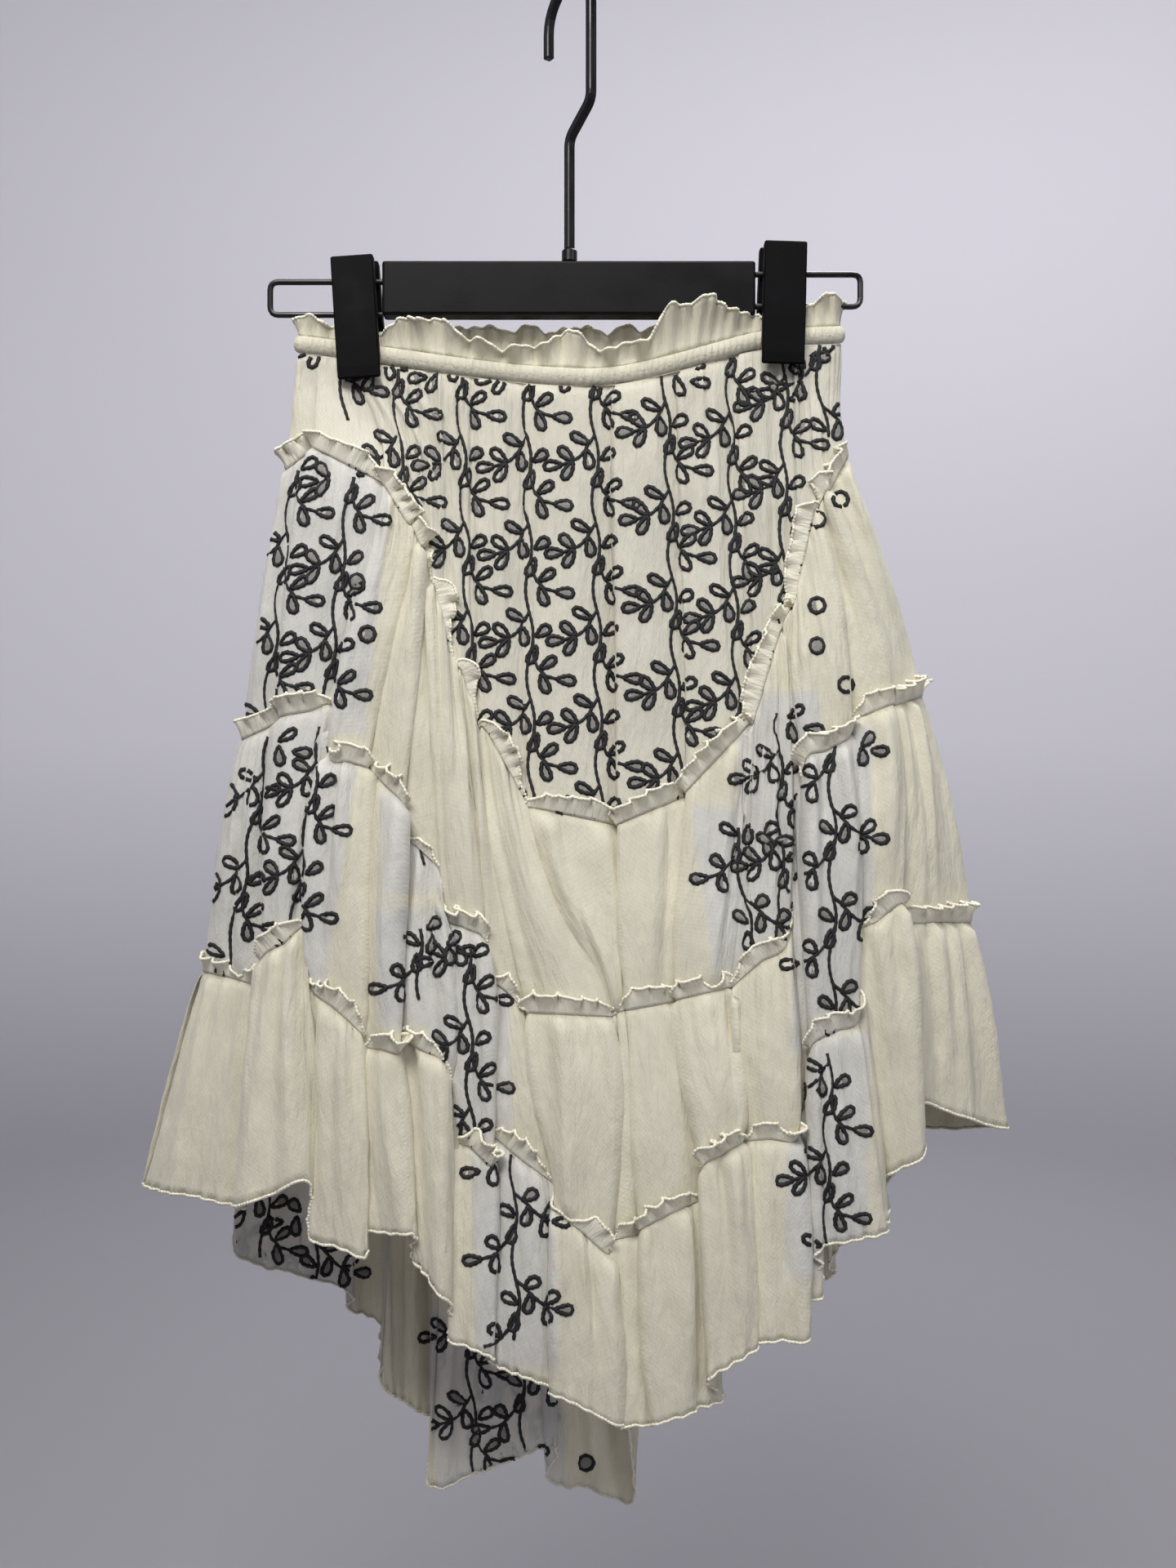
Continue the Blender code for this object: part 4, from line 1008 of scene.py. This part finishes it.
def make_casing(side, props, finish):
    """Half of the elastic tube, drawn up into small ribs."""
    middle, outward, _ = waist_path(side, CASING_FINE_STEP)
    angles = np.arange(CASING_FINE_SIDES) * 2 * math.pi / CASING_FINE_SIDES
    place = length_along(middle)
    rib = np.sin(2 * math.pi * place / props.rib_space * MM + 1.5 * np.sin(place / 19.0))
    small = np.sin(place / 0.7 + 2.0 * np.sin(place / 11.0))
    rib = (0.7 * rib + 0.3 * small)[:, None, None] * props.rib_height / MM
    thick = CASING_THICKNESS / 2 + CASING_SWELL + rib * np.maximum(np.cos(angles), 0.3)[None, :, None]
    out = outward[:, None] * np.cos(angles)[None, :, None] * thick
    up = np.array([0.0, 0.0, 1.0]) * np.sin(angles)[None, :, None] * CASING_HEIGHT / 2
    points = (middle[:, None] + out + up).reshape(-1, 3)
    faces = ring_faces(len(middle), CASING_FINE_SIDES, side)[2:]
    name = f"waist_casing_{SIDE_NAMES[side]}"
    thing = mesh_piece(f"{name}_cloth", points, faces, finish)
    grid = np.repeat(place[:, None], CASING_FINE_SIDES, axis=1)
    add_cloth_map(thing, grid * 2.2, np.repeat(angles[None] * 4.0, len(place), axis=0), np.zeros(grid.shape))
    thicken(thing, props.thickness / MM)
    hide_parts(name)


def make_waist_frill(side, props, finish, edge_finish):
    """The ruffled heading above the casing, with a waved, corded upper edge."""
    middle, outward, x = waist_path(side, WAIST_FRILL_FINE_STEP)
    ruffles = FRONT_RUFFLES if side == FRONT else BACK_RUFFLES
    across = [ruffle.x for ruffle in ruffles]
    height, lean, wave = (
        sum(np.interp(x + step, across, values) for step in RUFFLE_SOFTENING) / len(RUFFLE_SOFTENING)
        for values in ([getattr(ruffle, part) for ruffle in ruffles] for part in ("height", "lean", "wave"))
    )
    place = length_along(middle)
    swing = wave * np.sin(x * 2 * math.pi / WAIST_WAVE_LENGTH)
    small = np.sin(2 * math.pi * place / 8.5 + 1.6 * np.sin(place / 13.0))
    root = CASING_HEIGHT / 2 + 0.1
    clipped = 1.0 - ease((CLIP_HALF_WIDTH - np.abs(np.abs(x) - CLIP_X)) / CLIP_FADE)
    rows = []
    for share in np.linspace(0.0, 1.0, WAIST_FRILL_FINE_ROWS + 1)[::-1]:
        rise = root + (height - root) * share
        out = lean * share**2 + swing * share + (0.4 + 1.8 * share) * small * clipped
        top_dip = 1.9 * np.sin(place / 4.3 + 0.8 * np.sin(place / 17.0)) * share**4 * clipped
        rows.append(middle + outward * out[:, None] + (rise + top_dip)[:, None] * np.array([0.0, 0.0, 1.0]))
    sheet = np.array(rows)
    faces = grid_faces(len(sheet), len(middle), side)
    name = f"waist_frill_{SIDE_NAMES[side]}"
    thing = mesh_piece(f"{name}_cloth", sheet.reshape(-1, 3), faces, finish)
    down = np.linspace(0.0, -20.0, len(sheet))[:, None] * np.ones((1, len(middle)))
    add_cloth_map(thing, np.repeat(place[None] * 1.8, len(sheet), axis=0), down, np.zeros(down.shape))
    thicken(thing, props.thickness / MM)
    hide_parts(name)
    edge = edge_bead(f"{name}_edge", sheet[0], outward, props.bead_radius / MM, edge_finish)
    return sheet[0]


def seam_room(root, reach, tree):
    """How much of its length each place of a frill has room for in front of the next fold."""
    share = np.ones(len(root))
    length = np.linalg.norm(reach, axis=1)
    for k, (start, way) in enumerate(zip(root, reach)):
        hit = tree.ray_cast(Vector(start + way * 0.08), Vector(way).normalized(), float(length[k]) * 1.2)
        if hit[0] is not None:
            share[k] = max(FRILL_LEAST_SHARE, FRILL_ROOM_SHARE * hit[3] / length[k])
    for combine in (np.min, np.mean):
        padded = np.pad(share, ROOM_COLUMNS, mode="edge")
        share = combine([padded[k : k + len(share)] for k in range(2 * ROOM_COLUMNS + 1)], axis=0)
    return share[:, None]


def make_seam_frill(cloth, seam, tree, props, finish, edge_finish):
    """The seam allowance that stands out of a tier seam, bunched into a lettuce edge."""
    u = fine_places(cloth, props.frill_step / MM)
    t = np.full((1, len(u)), float(seam))
    line = cloth.plain(u, t)[0]
    keep = apart(line)
    line, outward = line[keep], cloth.outward(u, t)[0][keep]
    for end in (0, -1):
        outward[end, 1] = 0.0
    outward = smoothed(outward, 3)
    along = unit(np.gradient(line, axis=0))
    along = unit(along - outward * (along * outward).sum(axis=1, keepdims=True))
    upward = np.cross(outward, along) * cloth.side
    place = length_along(line)
    way = outward * math.cos(FRILL_LIFT) + upward * math.sin(FRILL_LIFT)
    across = upward * math.cos(FRILL_LIFT) - outward * math.sin(FRILL_LIFT)
    phase = 2 * math.pi * place / FRILL_WAVE + 2.2 * np.sin(place / 17.0 + seam) + np.sin(place / 7.3)
    tall = 0.7 + 0.3 * np.sin(place / 15.0 + 2.0 * seam)
    root = line + outward * 0.5
    reach = way * (FRILL_LENGTH * (0.9 + 0.1 * np.sin(place / 9.0 + seam)))[:, None]
    share = seam_room(root, reach, tree)
    rows = []
    for part in np.linspace(1.0, 0.0, FRILL_ROWS + 1):
        wave = np.sin(phase) * part**1.2 + 0.35 * np.sin(2.3 * phase) * part**2
        swing = props.frill_wave / MM * tall * wave
        curl = FRILL_CURL * tall * np.cos(phase + 0.6) * part**1.5
        step = across * swing[:, None] + along * curl[:, None]
        rows.append(root + (reach * part + step * min(1.0, part * 1.2)) * share)
    sheet = np.array(rows)
    side_name = SIDE_NAMES[cloth.side]
    name = f"seam_frill_{seam}_{side_name}"
    faces = grid_faces(len(sheet), len(line), cloth.side)
    thing = mesh_piece(f"{name}_cloth", sheet.reshape(-1, 3), faces, finish)
    down = np.linspace(0.0, -9.0, len(sheet))[:, None] * np.ones((1, len(line)))
    add_cloth_map(thing, np.repeat(place[None] * 1.6, len(sheet), axis=0), down, np.zeros(down.shape))
    thicken(thing, props.thickness / MM)
    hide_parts(*[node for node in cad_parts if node.startswith(f"{name}_")])
    edge = edge_bead(f"{name}_edge", sheet[0], across, props.bead_radius / MM, edge_finish)
    return sheet[0]


def smoothed(vectors, times):
    """Directions along a line, each turned towards its neighbours."""
    for _ in range(times):
        padded = np.concatenate([vectors[:1], vectors, vectors[-1:]])
        vectors = unit(padded[:-2] + padded[1:-1] + padded[2:])
    return vectors


def make_hem_edge(fine, props, finish):
    """The rolled edge of the hem."""
    line = fine.points[-1]
    keep = apart(line)
    t = np.full((1, len(fine.u)), TIERS - SEAM_INSET)
    outward = smoothed(fine.cloth.outward(fine.u, t)[0][keep], 3)
    side_name = SIDE_NAMES[fine.cloth.side]
    edge_bead(f"hem_{side_name}_edge", line[keep], outward, props.bead_radius / MM * HEM_THICKER, finish)
    return line[keep]


# Overlock stitches, which Geometry Nodes set along an edge


def stitch_tree():
    """Loops of thread round an edge, evenly spaced along it."""
    tree = bpy.data.node_groups.new("Overlock stitches", "GeometryNodeTree")
    tree.is_modifier = True
    sockets = {}
    for name, kind in (
        ("Edge", "NodeSocketGeometry"),
        ("Spacing", "NodeSocketFloat"),
        ("Loop radius", "NodeSocketFloat"),
        ("Loop thickness", "NodeSocketFloat"),
        ("Thread", "NodeSocketMaterial"),
    ):
        sockets[name] = tree.interface.new_socket(name, in_out="INPUT", socket_type=kind).identifier
    tree.interface.new_socket("Stitches", in_out="OUTPUT", socket_type="NodeSocketGeometry")
    start = tree.nodes.new("NodeGroupInput")
    end = tree.nodes.new("NodeGroupOutput")
    curve = tree.nodes.new("GeometryNodeMeshToCurve")
    spaced = tree.nodes.new("GeometryNodeResampleCurve")
    spaced.mode = "LENGTH"
    loop = tree.nodes.new("GeometryNodeMeshUVSphere")
    loop.inputs["Segments"].default_value = 6
    loop.inputs["Rings"].default_value = 3
    loop.inputs["Radius"].default_value = 1.0
    size = tree.nodes.new("ShaderNodeCombineXYZ")
    tangent = tree.nodes.new("GeometryNodeInputTangent")
    turn = tree.nodes.new("FunctionNodeAlignRotationToVector")
    turn.axis = "Z"
    placed = tree.nodes.new("GeometryNodeInstanceOnPoints")
    real = tree.nodes.new("GeometryNodeRealizeInstances")
    paint = tree.nodes.new("GeometryNodeSetMaterial")
    for out, into in (
        (start.outputs["Edge"], curve.inputs[0]),
        (curve.outputs[0], spaced.inputs["Curve"]),
        (start.outputs["Spacing"], spaced.inputs["Length"]),
        (spaced.outputs[0], placed.inputs["Points"]),
        (loop.outputs["Mesh"], placed.inputs["Instance"]),
        (tangent.outputs[0], turn.inputs["Vector"]),
        (turn.outputs[0], placed.inputs["Rotation"]),
        (start.outputs["Loop radius"], size.inputs["X"]),
        (start.outputs["Loop radius"], size.inputs["Y"]),
        (start.outputs["Loop thickness"], size.inputs["Z"]),
        (size.outputs[0], placed.inputs["Scale"]),
        (placed.outputs[0], real.inputs[0]),
        (real.outputs[0], paint.inputs["Geometry"]),
        (start.outputs["Thread"], paint.inputs["Material"]),
        (paint.outputs[0], end.inputs[0]),
    ):
        tree.links.new(out, into)
    return tree, sockets


def make_stitches(name, line, tree, sockets, props, thread):
    """The overlock stitches along one edge."""
    edges = [(k, k + 1) for k in range(len(line) - 1)]
    mesh = bpy.data.meshes.new(name)
    mesh.from_pydata(np.asarray(line, dtype=float) * MM, edges, [])
    thing = bpy.data.objects.new(name, mesh)
    bpy.context.scene.collection.objects.link(thing)
    stitches = thing.modifiers.new("Stitches", "NODES")
    stitches.node_group = tree
    stitches[sockets["Spacing"]] = props.stitch_space
    stitches[sockets["Loop radius"]] = props.bead_radius * STITCH_OVER_EDGE
    stitches[sockets["Loop thickness"]] = props.stitch_space * STITCH_THICK_SHARE
    stitches[sockets["Thread"]] = thread
    bpy.context.view_layer.update()
    plain_mesh(thing)
    thing.data.shade_smooth()
    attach(thing, "root")


# Embroidery


def turned(x, y, degrees):
    """A point turned about the origin."""
    angle = math.radians(degrees)
    return x * math.cos(angle) - y * math.sin(angle), x * math.sin(angle) + y * math.cos(angle)


def leaf_outline(leaf):
    """Points round a drop-shaped leaf, in the vine's own x and drop."""
    outline = []
    for k in range(LEAF_POINTS):
        around = 2 * math.pi * k / LEAF_POINTS
        along = leaf.length * (0.5 - 0.5 * math.cos(around))
        wide = LEAF_HALF_WIDTH * math.sin(around) * (0.66 - 0.34 * math.cos(around))
        x, y = turned(along, wide, leaf.turn)
        outline.append((leaf.x + x, leaf.y + y))
    return outline


def even_steps(points, step):
    """A line's points, spaced again about a step apart."""
    points = np.array(points, dtype=float)
    place = length_along(points)
    wanted = np.linspace(0.0, place[-1], max(3, round(place[-1] / step) + 1))
    return np.stack([np.interp(wanted, place, points[:, axis]) for axis in (0, 1)], axis=1)


def vine_strokes(vine):
    """The lines of one vine: (points as seen, closed) for its stem, branches and leaves."""
    length = vine.bottom - vine.top
    mirror = -1.0 if vine.turned else 1.0

    def on_stem(drop):
        share = (drop - vine.top) / length
        sway = STEM_SWING * math.sin(2 * math.pi * ((drop - vine.top) / REPEAT + vine.phase))
        return vine.x_top + (vine.x_bottom - vine.x_top) * share + sway

    strokes = []
    drops = np.arange(vine.top, vine.bottom + 0.1, 3.0)
    strokes.append((even_steps([(on_stem(drop), drop) for drop in drops], STEM_STEP), False))
    start = vine.top - REPEAT * vine.phase
    while start < vine.bottom:
        def placed(points, start=start):
            return np.array([(on_stem(start + y) + mirror * x, start + y) for x, y in points])

        for branch in BRANCHES:
            points = placed(branch.points)
            inside = (points[:, 1] >= vine.top - 4.0) & (points[:, 1] <= vine.bottom + 2.0)
            if inside.all():
                strokes.append((even_steps(points, STEM_STEP), False))
        for leaf in LEAVES:
            base = start + leaf.y
            if vine.top - 2.0 <= base <= vine.bottom - 2.0:
                strokes.append((placed(leaf_outline(leaf)), True))
        start += REPEAT
    return strokes


def sewn(points, side, tier, inside, trees):
    """Where seen points lie on the cloth, with the ways out, and None where they miss the tier."""
    tree, tiers = trees[side]
    eye_y = eye_of(side, inside)
    found = []
    for x, drop in points:
        hit = sight(x, drop, eye_y, tree)
        if hit is None or tiers[hit[2]] != tier:
            found.append(None)
        else:
            found.append((np.array(hit[0]), np.array(hit[1])))
    return found


def runs_of(found, points, closed):
    """Stretches of a line that lie on one unbroken part of the cloth."""
    breaks = []
    for k, here in enumerate(found):
        before = found[k - 1] if k or closed else None
        flat = np.linalg.norm(points[k] - points[k - 1])
        broken = here is None or before is None or np.linalg.norm(here[0] - before[0]) > 1.8 * flat + 1.2
        breaks.append(broken)
    if closed and not any(breaks):
        return [(found, True)]
    runs, run = [], []
    order = range(len(found))
    if closed:
        first = breaks.index(True)
        order = [(first + k) % len(found) for k in range(len(found))]
    for k in order:
        if breaks[k]:
            if len(run) > 2:
                runs.append((run, False))
            run = []
        if found[k] is not None:
            run.append(found[k])
    if len(run) > 2:
        runs.append((run, False))
    return runs


class Needlework:
    """Threads and leaf fills of one embroidered piece."""

    def __init__(self):
        self.points, self.faces = [], []
        self.fill_points, self.fill_faces = [], []

    def stroke(self, points, closed, trees, side, tier, inside, half_width):
        """Sews one line on, thick and thin by turns like chain stitch, and fills it where it closes."""
        found = sewn(points, side, tier, inside, trees)
        for run, whole in runs_of(found, points, closed):
            path = np.array([place for place, _ in run])
            normals = np.array([normal for _, normal in run])
            path = path + normals * THREAD_LIFT
            beat = np.where(np.arange(len(path)) % 2 == 0, 1.0, CHAIN_THIN)
            half = half_width * beat
            if whole:
                wrapped = np.concatenate([path[-2:], path, path[:2]])
                ways = np.concatenate([normals[-2:], normals, normals[:2]])
                wide = np.concatenate([half[-2:], half, half[:2]])
                tube = tube_points(wrapped, ways, wide, wide * THREAD_FLATNESS)[8:-8]
            else:
                tube = tube_points(path, normals, half, half * THREAD_FLATNESS)
            self.faces += tube_faces(len(path), len(self.points), whole)
            self.points += list(tube)
            if whole:
                self.fill(path - normals * (THREAD_LIFT - FILL_LIFT), normals.mean(axis=0))

    def fill(self, outline, out):
        start = len(self.fill_points)
        count = len(outline)
        self.fill_points += [*outline, outline.mean(axis=0) + out * FILL_BULGE]
        self.fill_faces += [(start + k, start + (k + 1) % count, start + count) for k in range(count)]

    def finish(self, name, thread, fill):
        if self.points:
            mesh_piece(f"{name}_threads", self.points, self.faces, thread)
        if self.fill_points:
            piece = mesh_piece(f"{name}_leaves", self.fill_points, self.fill_faces, fill)


def sew_tier(side, tier, inside, trees, props, thread, fill):
    """All the embroidery of one tier on one side."""
    work = Needlework()
    outline, stem = props.outline_width / MM, props.stem_width / MM
    for vine in VINES:
        if (vine.side, vine.tier, vine.inside) == (side, tier, inside):
            for points, closed in vine_strokes(vine):
                work.stroke(points, closed, trees, side, tier, inside, outline if closed else stem)
    angles = np.arange(RING_POINTS) * 2 * math.pi / RING_POINTS
    circle = np.stack([np.cos(angles), np.sin(angles)], axis=1) * RING_RADIUS
    for ring in RINGS:
        if (ring.side, ring.tier, ring.inside) == (side, tier, inside):
            work.stroke(circle + (ring.x, ring.drop), True, trees, side, tier, inside, outline)
    kind = "inside" if inside else "embroidery"
    work.finish(f"{TIER_NAMES[tier]}_{SIDE_NAMES[side]}_{kind}", thread, fill)


# Studio


def lamp(name, place, aim, size, power, colour):
    """A soft rectangular lamp at a place, turned to its aim."""
    data = bpy.data.lights.new(name, "AREA")
    data.shape = "RECTANGLE"
    data.size, data.size_y = size
    data.energy = power
    data.color = colour
    thing = bpy.data.objects.new(name, data)
    bpy.context.scene.collection.objects.link(thing)
    thing.location = place
    thing.rotation_euler = (Vector(aim) - Vector(place)).to_track_quat("-Z", "Y").to_euler()


def bowl_faces(rings, sides):
    """Faces between the rings of the backdrop."""
    faces = []
    for ring in range(rings - 1):
        for k in range(sides):
            a, b = ring * sides + k, ring * sides + (k + 1) % sides
            faces.append((a, b, b + sides, a + sides))
    return faces


def make_backdrop():
    """A floor that curves up into a wall all round, darker low down with painted shade and paler on the way
    up.
    """
    profile = [(0.001, 0.0), (1.6, 0.0), (BOWL_FLAT, 0.0)]
    for k in range(1, BOWL_BEND_STEPS + 1):
        angle = math.pi / 2 * k / BOWL_BEND_STEPS
        profile.append((BOWL_FLAT + BOWL_BEND * math.sin(angle), BOWL_BEND - BOWL_BEND * math.cos(angle)))
    profile.append((BOWL_FLAT + BOWL_BEND, BOWL_TOP))
    points = []
    for radius, rise in profile:
        for k in range(BOWL_SIDES):
            angle = 2 * math.pi * k / BOWL_SIDES
            points.append((radius * math.cos(angle), radius * math.sin(angle), FLOOR + rise))
    mesh = bpy.data.meshes.new("backdrop")
    mesh.from_pydata(points, [], bowl_faces(len(profile), BOWL_SIDES))
    mesh.shade_smooth()
    made, shader = new_material("pale backdrop", WALL_HIGH, 0.95)
    tree = made.node_tree
    place = node(tree, "ShaderNodeTexCoord", "place").outputs["Object"]
    height = node(tree, "ShaderNodeSeparateXYZ", "height", Vector=place).outputs["Z"]
    # Painted shade: darker at the floor and the foot of the wall, paler on the way up
    shade = ramp(tree, height, FLOOR - 0.1, FLOOR + 0.9, "paler on the way up")
    colour = mixed(tree, shade, (*WALL_PAINTED_SHADE, 1.0), (*WALL_HIGH, 1.0), "wall colour with painted shade")
    tree.links.new(colour, shader.inputs["Base Color"])
    mesh.materials.append(made)
    thing = bpy.data.objects.new("backdrop", mesh)
    bpy.context.scene.collection.objects.link(thing)
    return thing


# Sidebar settings and buttons


def length_setting(name, description, default, least, most):
    return FloatProperty(
        name=name, description=description,
        default=default, min=least, max=most, subtype="DISTANCE", unit="LENGTH",
    )


class ClothSettings(bpy.types.PropertyGroup):
    """Sizes of the cloth pieces."""

    column_step: length_setting(
        "Column step", "Space between the columns of the cloth mesh", 0.0026, 0.0012, 0.006
    )
    row_step: length_setting(
        "Row step", "Space between the rows of the cloth mesh", 0.0060, 0.002, 0.012
    )
    thickness: length_setting(
        "Thickness", "Thickness of the cloth", 0.0005, 0.0003, 0.0012
    )


class FrillSettings(bpy.types.PropertyGroup):
    """Sizes of the waist casing, the frills and their edges."""

    rib_space: length_setting(
        "Rib space", "Space between the ribs that the elastic draws up", 0.0042, 0.002, 0.01
    )
    rib_height: length_setting(
        "Rib height", "Height of the ribs of the casing", 0.0007, 0.0, 0.002
    )
    frill_step: length_setting(
        "Frill step", "Space between the columns of a seam frill", 0.0014, 0.0008, 0.004
    )
    frill_wave: length_setting(
        "Frill wave", "Height of the waves at the edge of a seam frill", 0.0036, 0.0, 0.005
    )
    bead_radius: length_setting(
        "Edge radius", "Radius of the sewn edge of a frill", 0.00085, 0.0003, 0.0015
    )
    stitch_space: length_setting(
        "Stitch space", "Space between the loops of overlock stitching", 0.0022, 0.001, 0.005
    )
    thickness: length_setting(
        "Thickness", "Thickness of the frill cloth", 0.0005, 0.0003, 0.0012
    )


class EmbroiderySettings(bpy.types.PropertyGroup):
    """Widths of the embroidery threads."""

    outline_width: length_setting(
        "Leaf outline", "Half the width of the thread round a leaf", 0.00145, 0.0004, 0.002
    )
    stem_width: length_setting(
        "Stem", "Half the width of the thread of a stem", 0.00110, 0.0003, 0.002
    )


class HangerSettings(bpy.types.PropertyGroup):
    """Finish of the hanger."""

    satin: FloatProperty(
        name="Satin", description="Roughness of the enamel",
        default=0.34, min=0.05, max=0.9,
    )


class SKIRT_OT_waist(bpy.types.Operator):
    """Makes the ribbed waist casing and the frill above it"""

    bl_idname = "skirt.waist"
    bl_label = "Make the waist"

    def execute(self, context):
        props = context.scene.skirt_frills
        finish = cloth_material("cream waist", CREAM)
        edge_finish = overlock_thread()
        tree, sockets = stitch_tree()
        for side in (FRONT, BACK):
            make_casing(side, props, finish)
            line = make_waist_frill(side, props, finish, edge_finish)
            make_stitches(f"waist_frill_{SIDE_NAMES[side]}_stitches", line, tree, sockets, props, edge_finish)
        return {"FINISHED"}


class SKIRT_OT_tiers(bpy.types.Operator):
    """Makes the four tiers of both sides and the rolled hem"""

    bl_idname = "skirt.tiers"
    bl_label = "Make the tiers"

    def execute(self, context):
        props = context.scene.skirt_cloth
        frills = context.scene.skirt_frills
        finish = cloth_material("cream mesh", CREAM)
        edge_finish = overlock_thread()
        tree, sockets = stitch_tree()
        CUT_OUT.clear()
        for cloth in sides():
            for tier in range(TIERS):
                CUT_OUT.append(make_fine_tier(cloth, tier, props, finish))
            line = make_hem_edge(CUT_OUT[-1], frills, edge_finish)
            make_stitches(f"hem_{SIDE_NAMES[cloth.side]}_stitches", line, tree, sockets, frills, edge_finish)
        return {"FINISHED"}


class SKIRT_OT_seam_frills(bpy.types.Operator):
    """Makes the frills that stand out of the seams between the tiers"""

    bl_idname = "skirt.seam_frills"
    bl_label = "Make the seam frills"

    def execute(self, context):
        props = context.scene.skirt_frills
        # Painted light: the frills are the same cream mesh, given the paler thread cream so they look lit
        # from above
        finish = cloth_material("cream frill painted lighter", EDGE_THREAD_AND_LIT_FRILL_CREAM)
        edge_finish = overlock_thread()
        tree, sockets = stitch_tree()
        trees = sight_trees()
        for cloth in sides():
            for seam in range(1, TIERS):
                line = make_seam_frill(cloth, seam, trees[cloth.side][0], props, finish, edge_finish)
                name = f"seam_frill_{seam}_{SIDE_NAMES[cloth.side]}_stitches"
                make_stitches(name, line, tree, sockets, props, edge_finish)
        return {"FINISHED"}


class SKIRT_OT_embroidery(bpy.types.Operator):
    """Sews the vines and rings on the cloth"""

    bl_idname = "skirt.embroidery"
    bl_label = "Sew the embroidery"

    def execute(self, context):
        props = context.scene.skirt_embroidery
        thread = thread_material("black embroidery thread", THREAD_BLACK, 0.7, 1500.0, 0.6)
        fill = thread_material("taupe net", LEAF_TAUPE, 0.8, 1200.0, 0.5)
        trees = sight_trees()
        for side in (FRONT, BACK):
            for tier in range(TIERS):
                for inside in (False, True):
                    sew_tier(side, tier, inside, trees, props, thread, fill)
        return {"FINISHED"}


class SKIRT_OT_hanger(bpy.types.Operator):
    """Finishes the hook, the bar, the wires and the clips"""

    bl_idname = "skirt.hanger"
    bl_label = "Finish the hanger"

    def execute(self, context):
        satin = context.scene.skirt_hanger.satin
        wire = hanger_material("black coated wire", satin, 0.5, 900.0)
        bar = hanger_material("black satin bar", satin + 0.08, 0.14, 620.0)
        clip = hanger_material("black matt clip", satin + 0.2, 0.05, 700.0)
        for name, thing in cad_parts.items():
            if name.startswith(CLOTH_NODES):
                continue
            finish = wire if name.startswith(WIRE_NODES) else clip if name.startswith("clip") else bar
            for slot in thing.material_slots:
                slot.material = finish
        return {"FINISHED"}


class SKIRT_OT_stage(bpy.types.Operator):
    """Makes the backdrop, the lights and the camera"""

    bl_idname = "skirt.stage"
    bl_label = "Set the stage"

    def execute(self, context):
        make_backdrop()
        for name, place, aim, size, power, colour in LAMPS:
            lamp(name, place, aim, size, power, colour)
        world = bpy.data.worlds.new("studio air")
        world.use_nodes = True
        air = world.node_tree.nodes["Background"]
        air.inputs["Color"].default_value = (*AIR, 1.0)
        air.inputs["Strength"].default_value = AIR_STRENGTH
        context.scene.world = world
        data = bpy.data.cameras.new("camera")
        data.sensor_width = SENSOR
        data.lens = SENSOR * EYE_DISTANCE / FRAME_HEIGHT
        camera = bpy.data.objects.new("camera", data)
        context.scene.collection.objects.link(camera)
        camera.location = (EYE_X * MM, -EYE_DISTANCE * MM, EYE_Z * MM)
        camera.rotation_euler = (math.pi / 2, 0.0, 0.0)
        context.scene.camera = camera
        context.scene.view_settings.view_transform = "Standard"
        return {"FINISHED"}


STEPS = (
    SKIRT_OT_waist,
    SKIRT_OT_tiers,
    SKIRT_OT_seam_frills,
    SKIRT_OT_embroidery,
    SKIRT_OT_hanger,
    SKIRT_OT_stage,
)


class SKIRT_PT_sidebar(bpy.types.Panel):
    """Lists the settings and the steps"""

    bl_label = "Embroidered skirt"
    bl_space_type = "VIEW_3D"
    bl_region_type = "UI"
    bl_category = "Skirt"

    def draw(self, context):
        for holder in SETTINGS:
            box = self.layout.box()
            settings = getattr(context.scene, holder)
            for name in settings.bl_rna.properties.keys():
                if name not in ("rna_type", "name"):
                    box.prop(settings, name)
        for step in STEPS:
            self.layout.operator(step.bl_idname)


SETTINGS = {
    "skirt_cloth": ClothSettings,
    "skirt_frills": FrillSettings,
    "skirt_embroidery": EmbroiderySettings,
    "skirt_hanger": HangerSettings,
}
CLASSES = (*SETTINGS.values(), *STEPS, SKIRT_PT_sidebar)


def register():
    for kind in CLASSES:
        bpy.utils.register_class(kind)
    for name, kind in SETTINGS.items():
        setattr(bpy.types.Scene, name, PointerProperty(type=kind))


def unregister():
    for name in SETTINGS:
        delattr(bpy.types.Scene, name)
    for kind in reversed(CLASSES):
        bpy.utils.unregister_class(kind)


def main():
    register()
    bpy.ops.skirt.waist()
    bpy.ops.skirt.tiers()
    bpy.ops.skirt.seam_frills()
    bpy.ops.skirt.embroidery()
    bpy.ops.skirt.hanger()
    bpy.ops.skirt.stage()


if __name__ == "__main__":
    main()
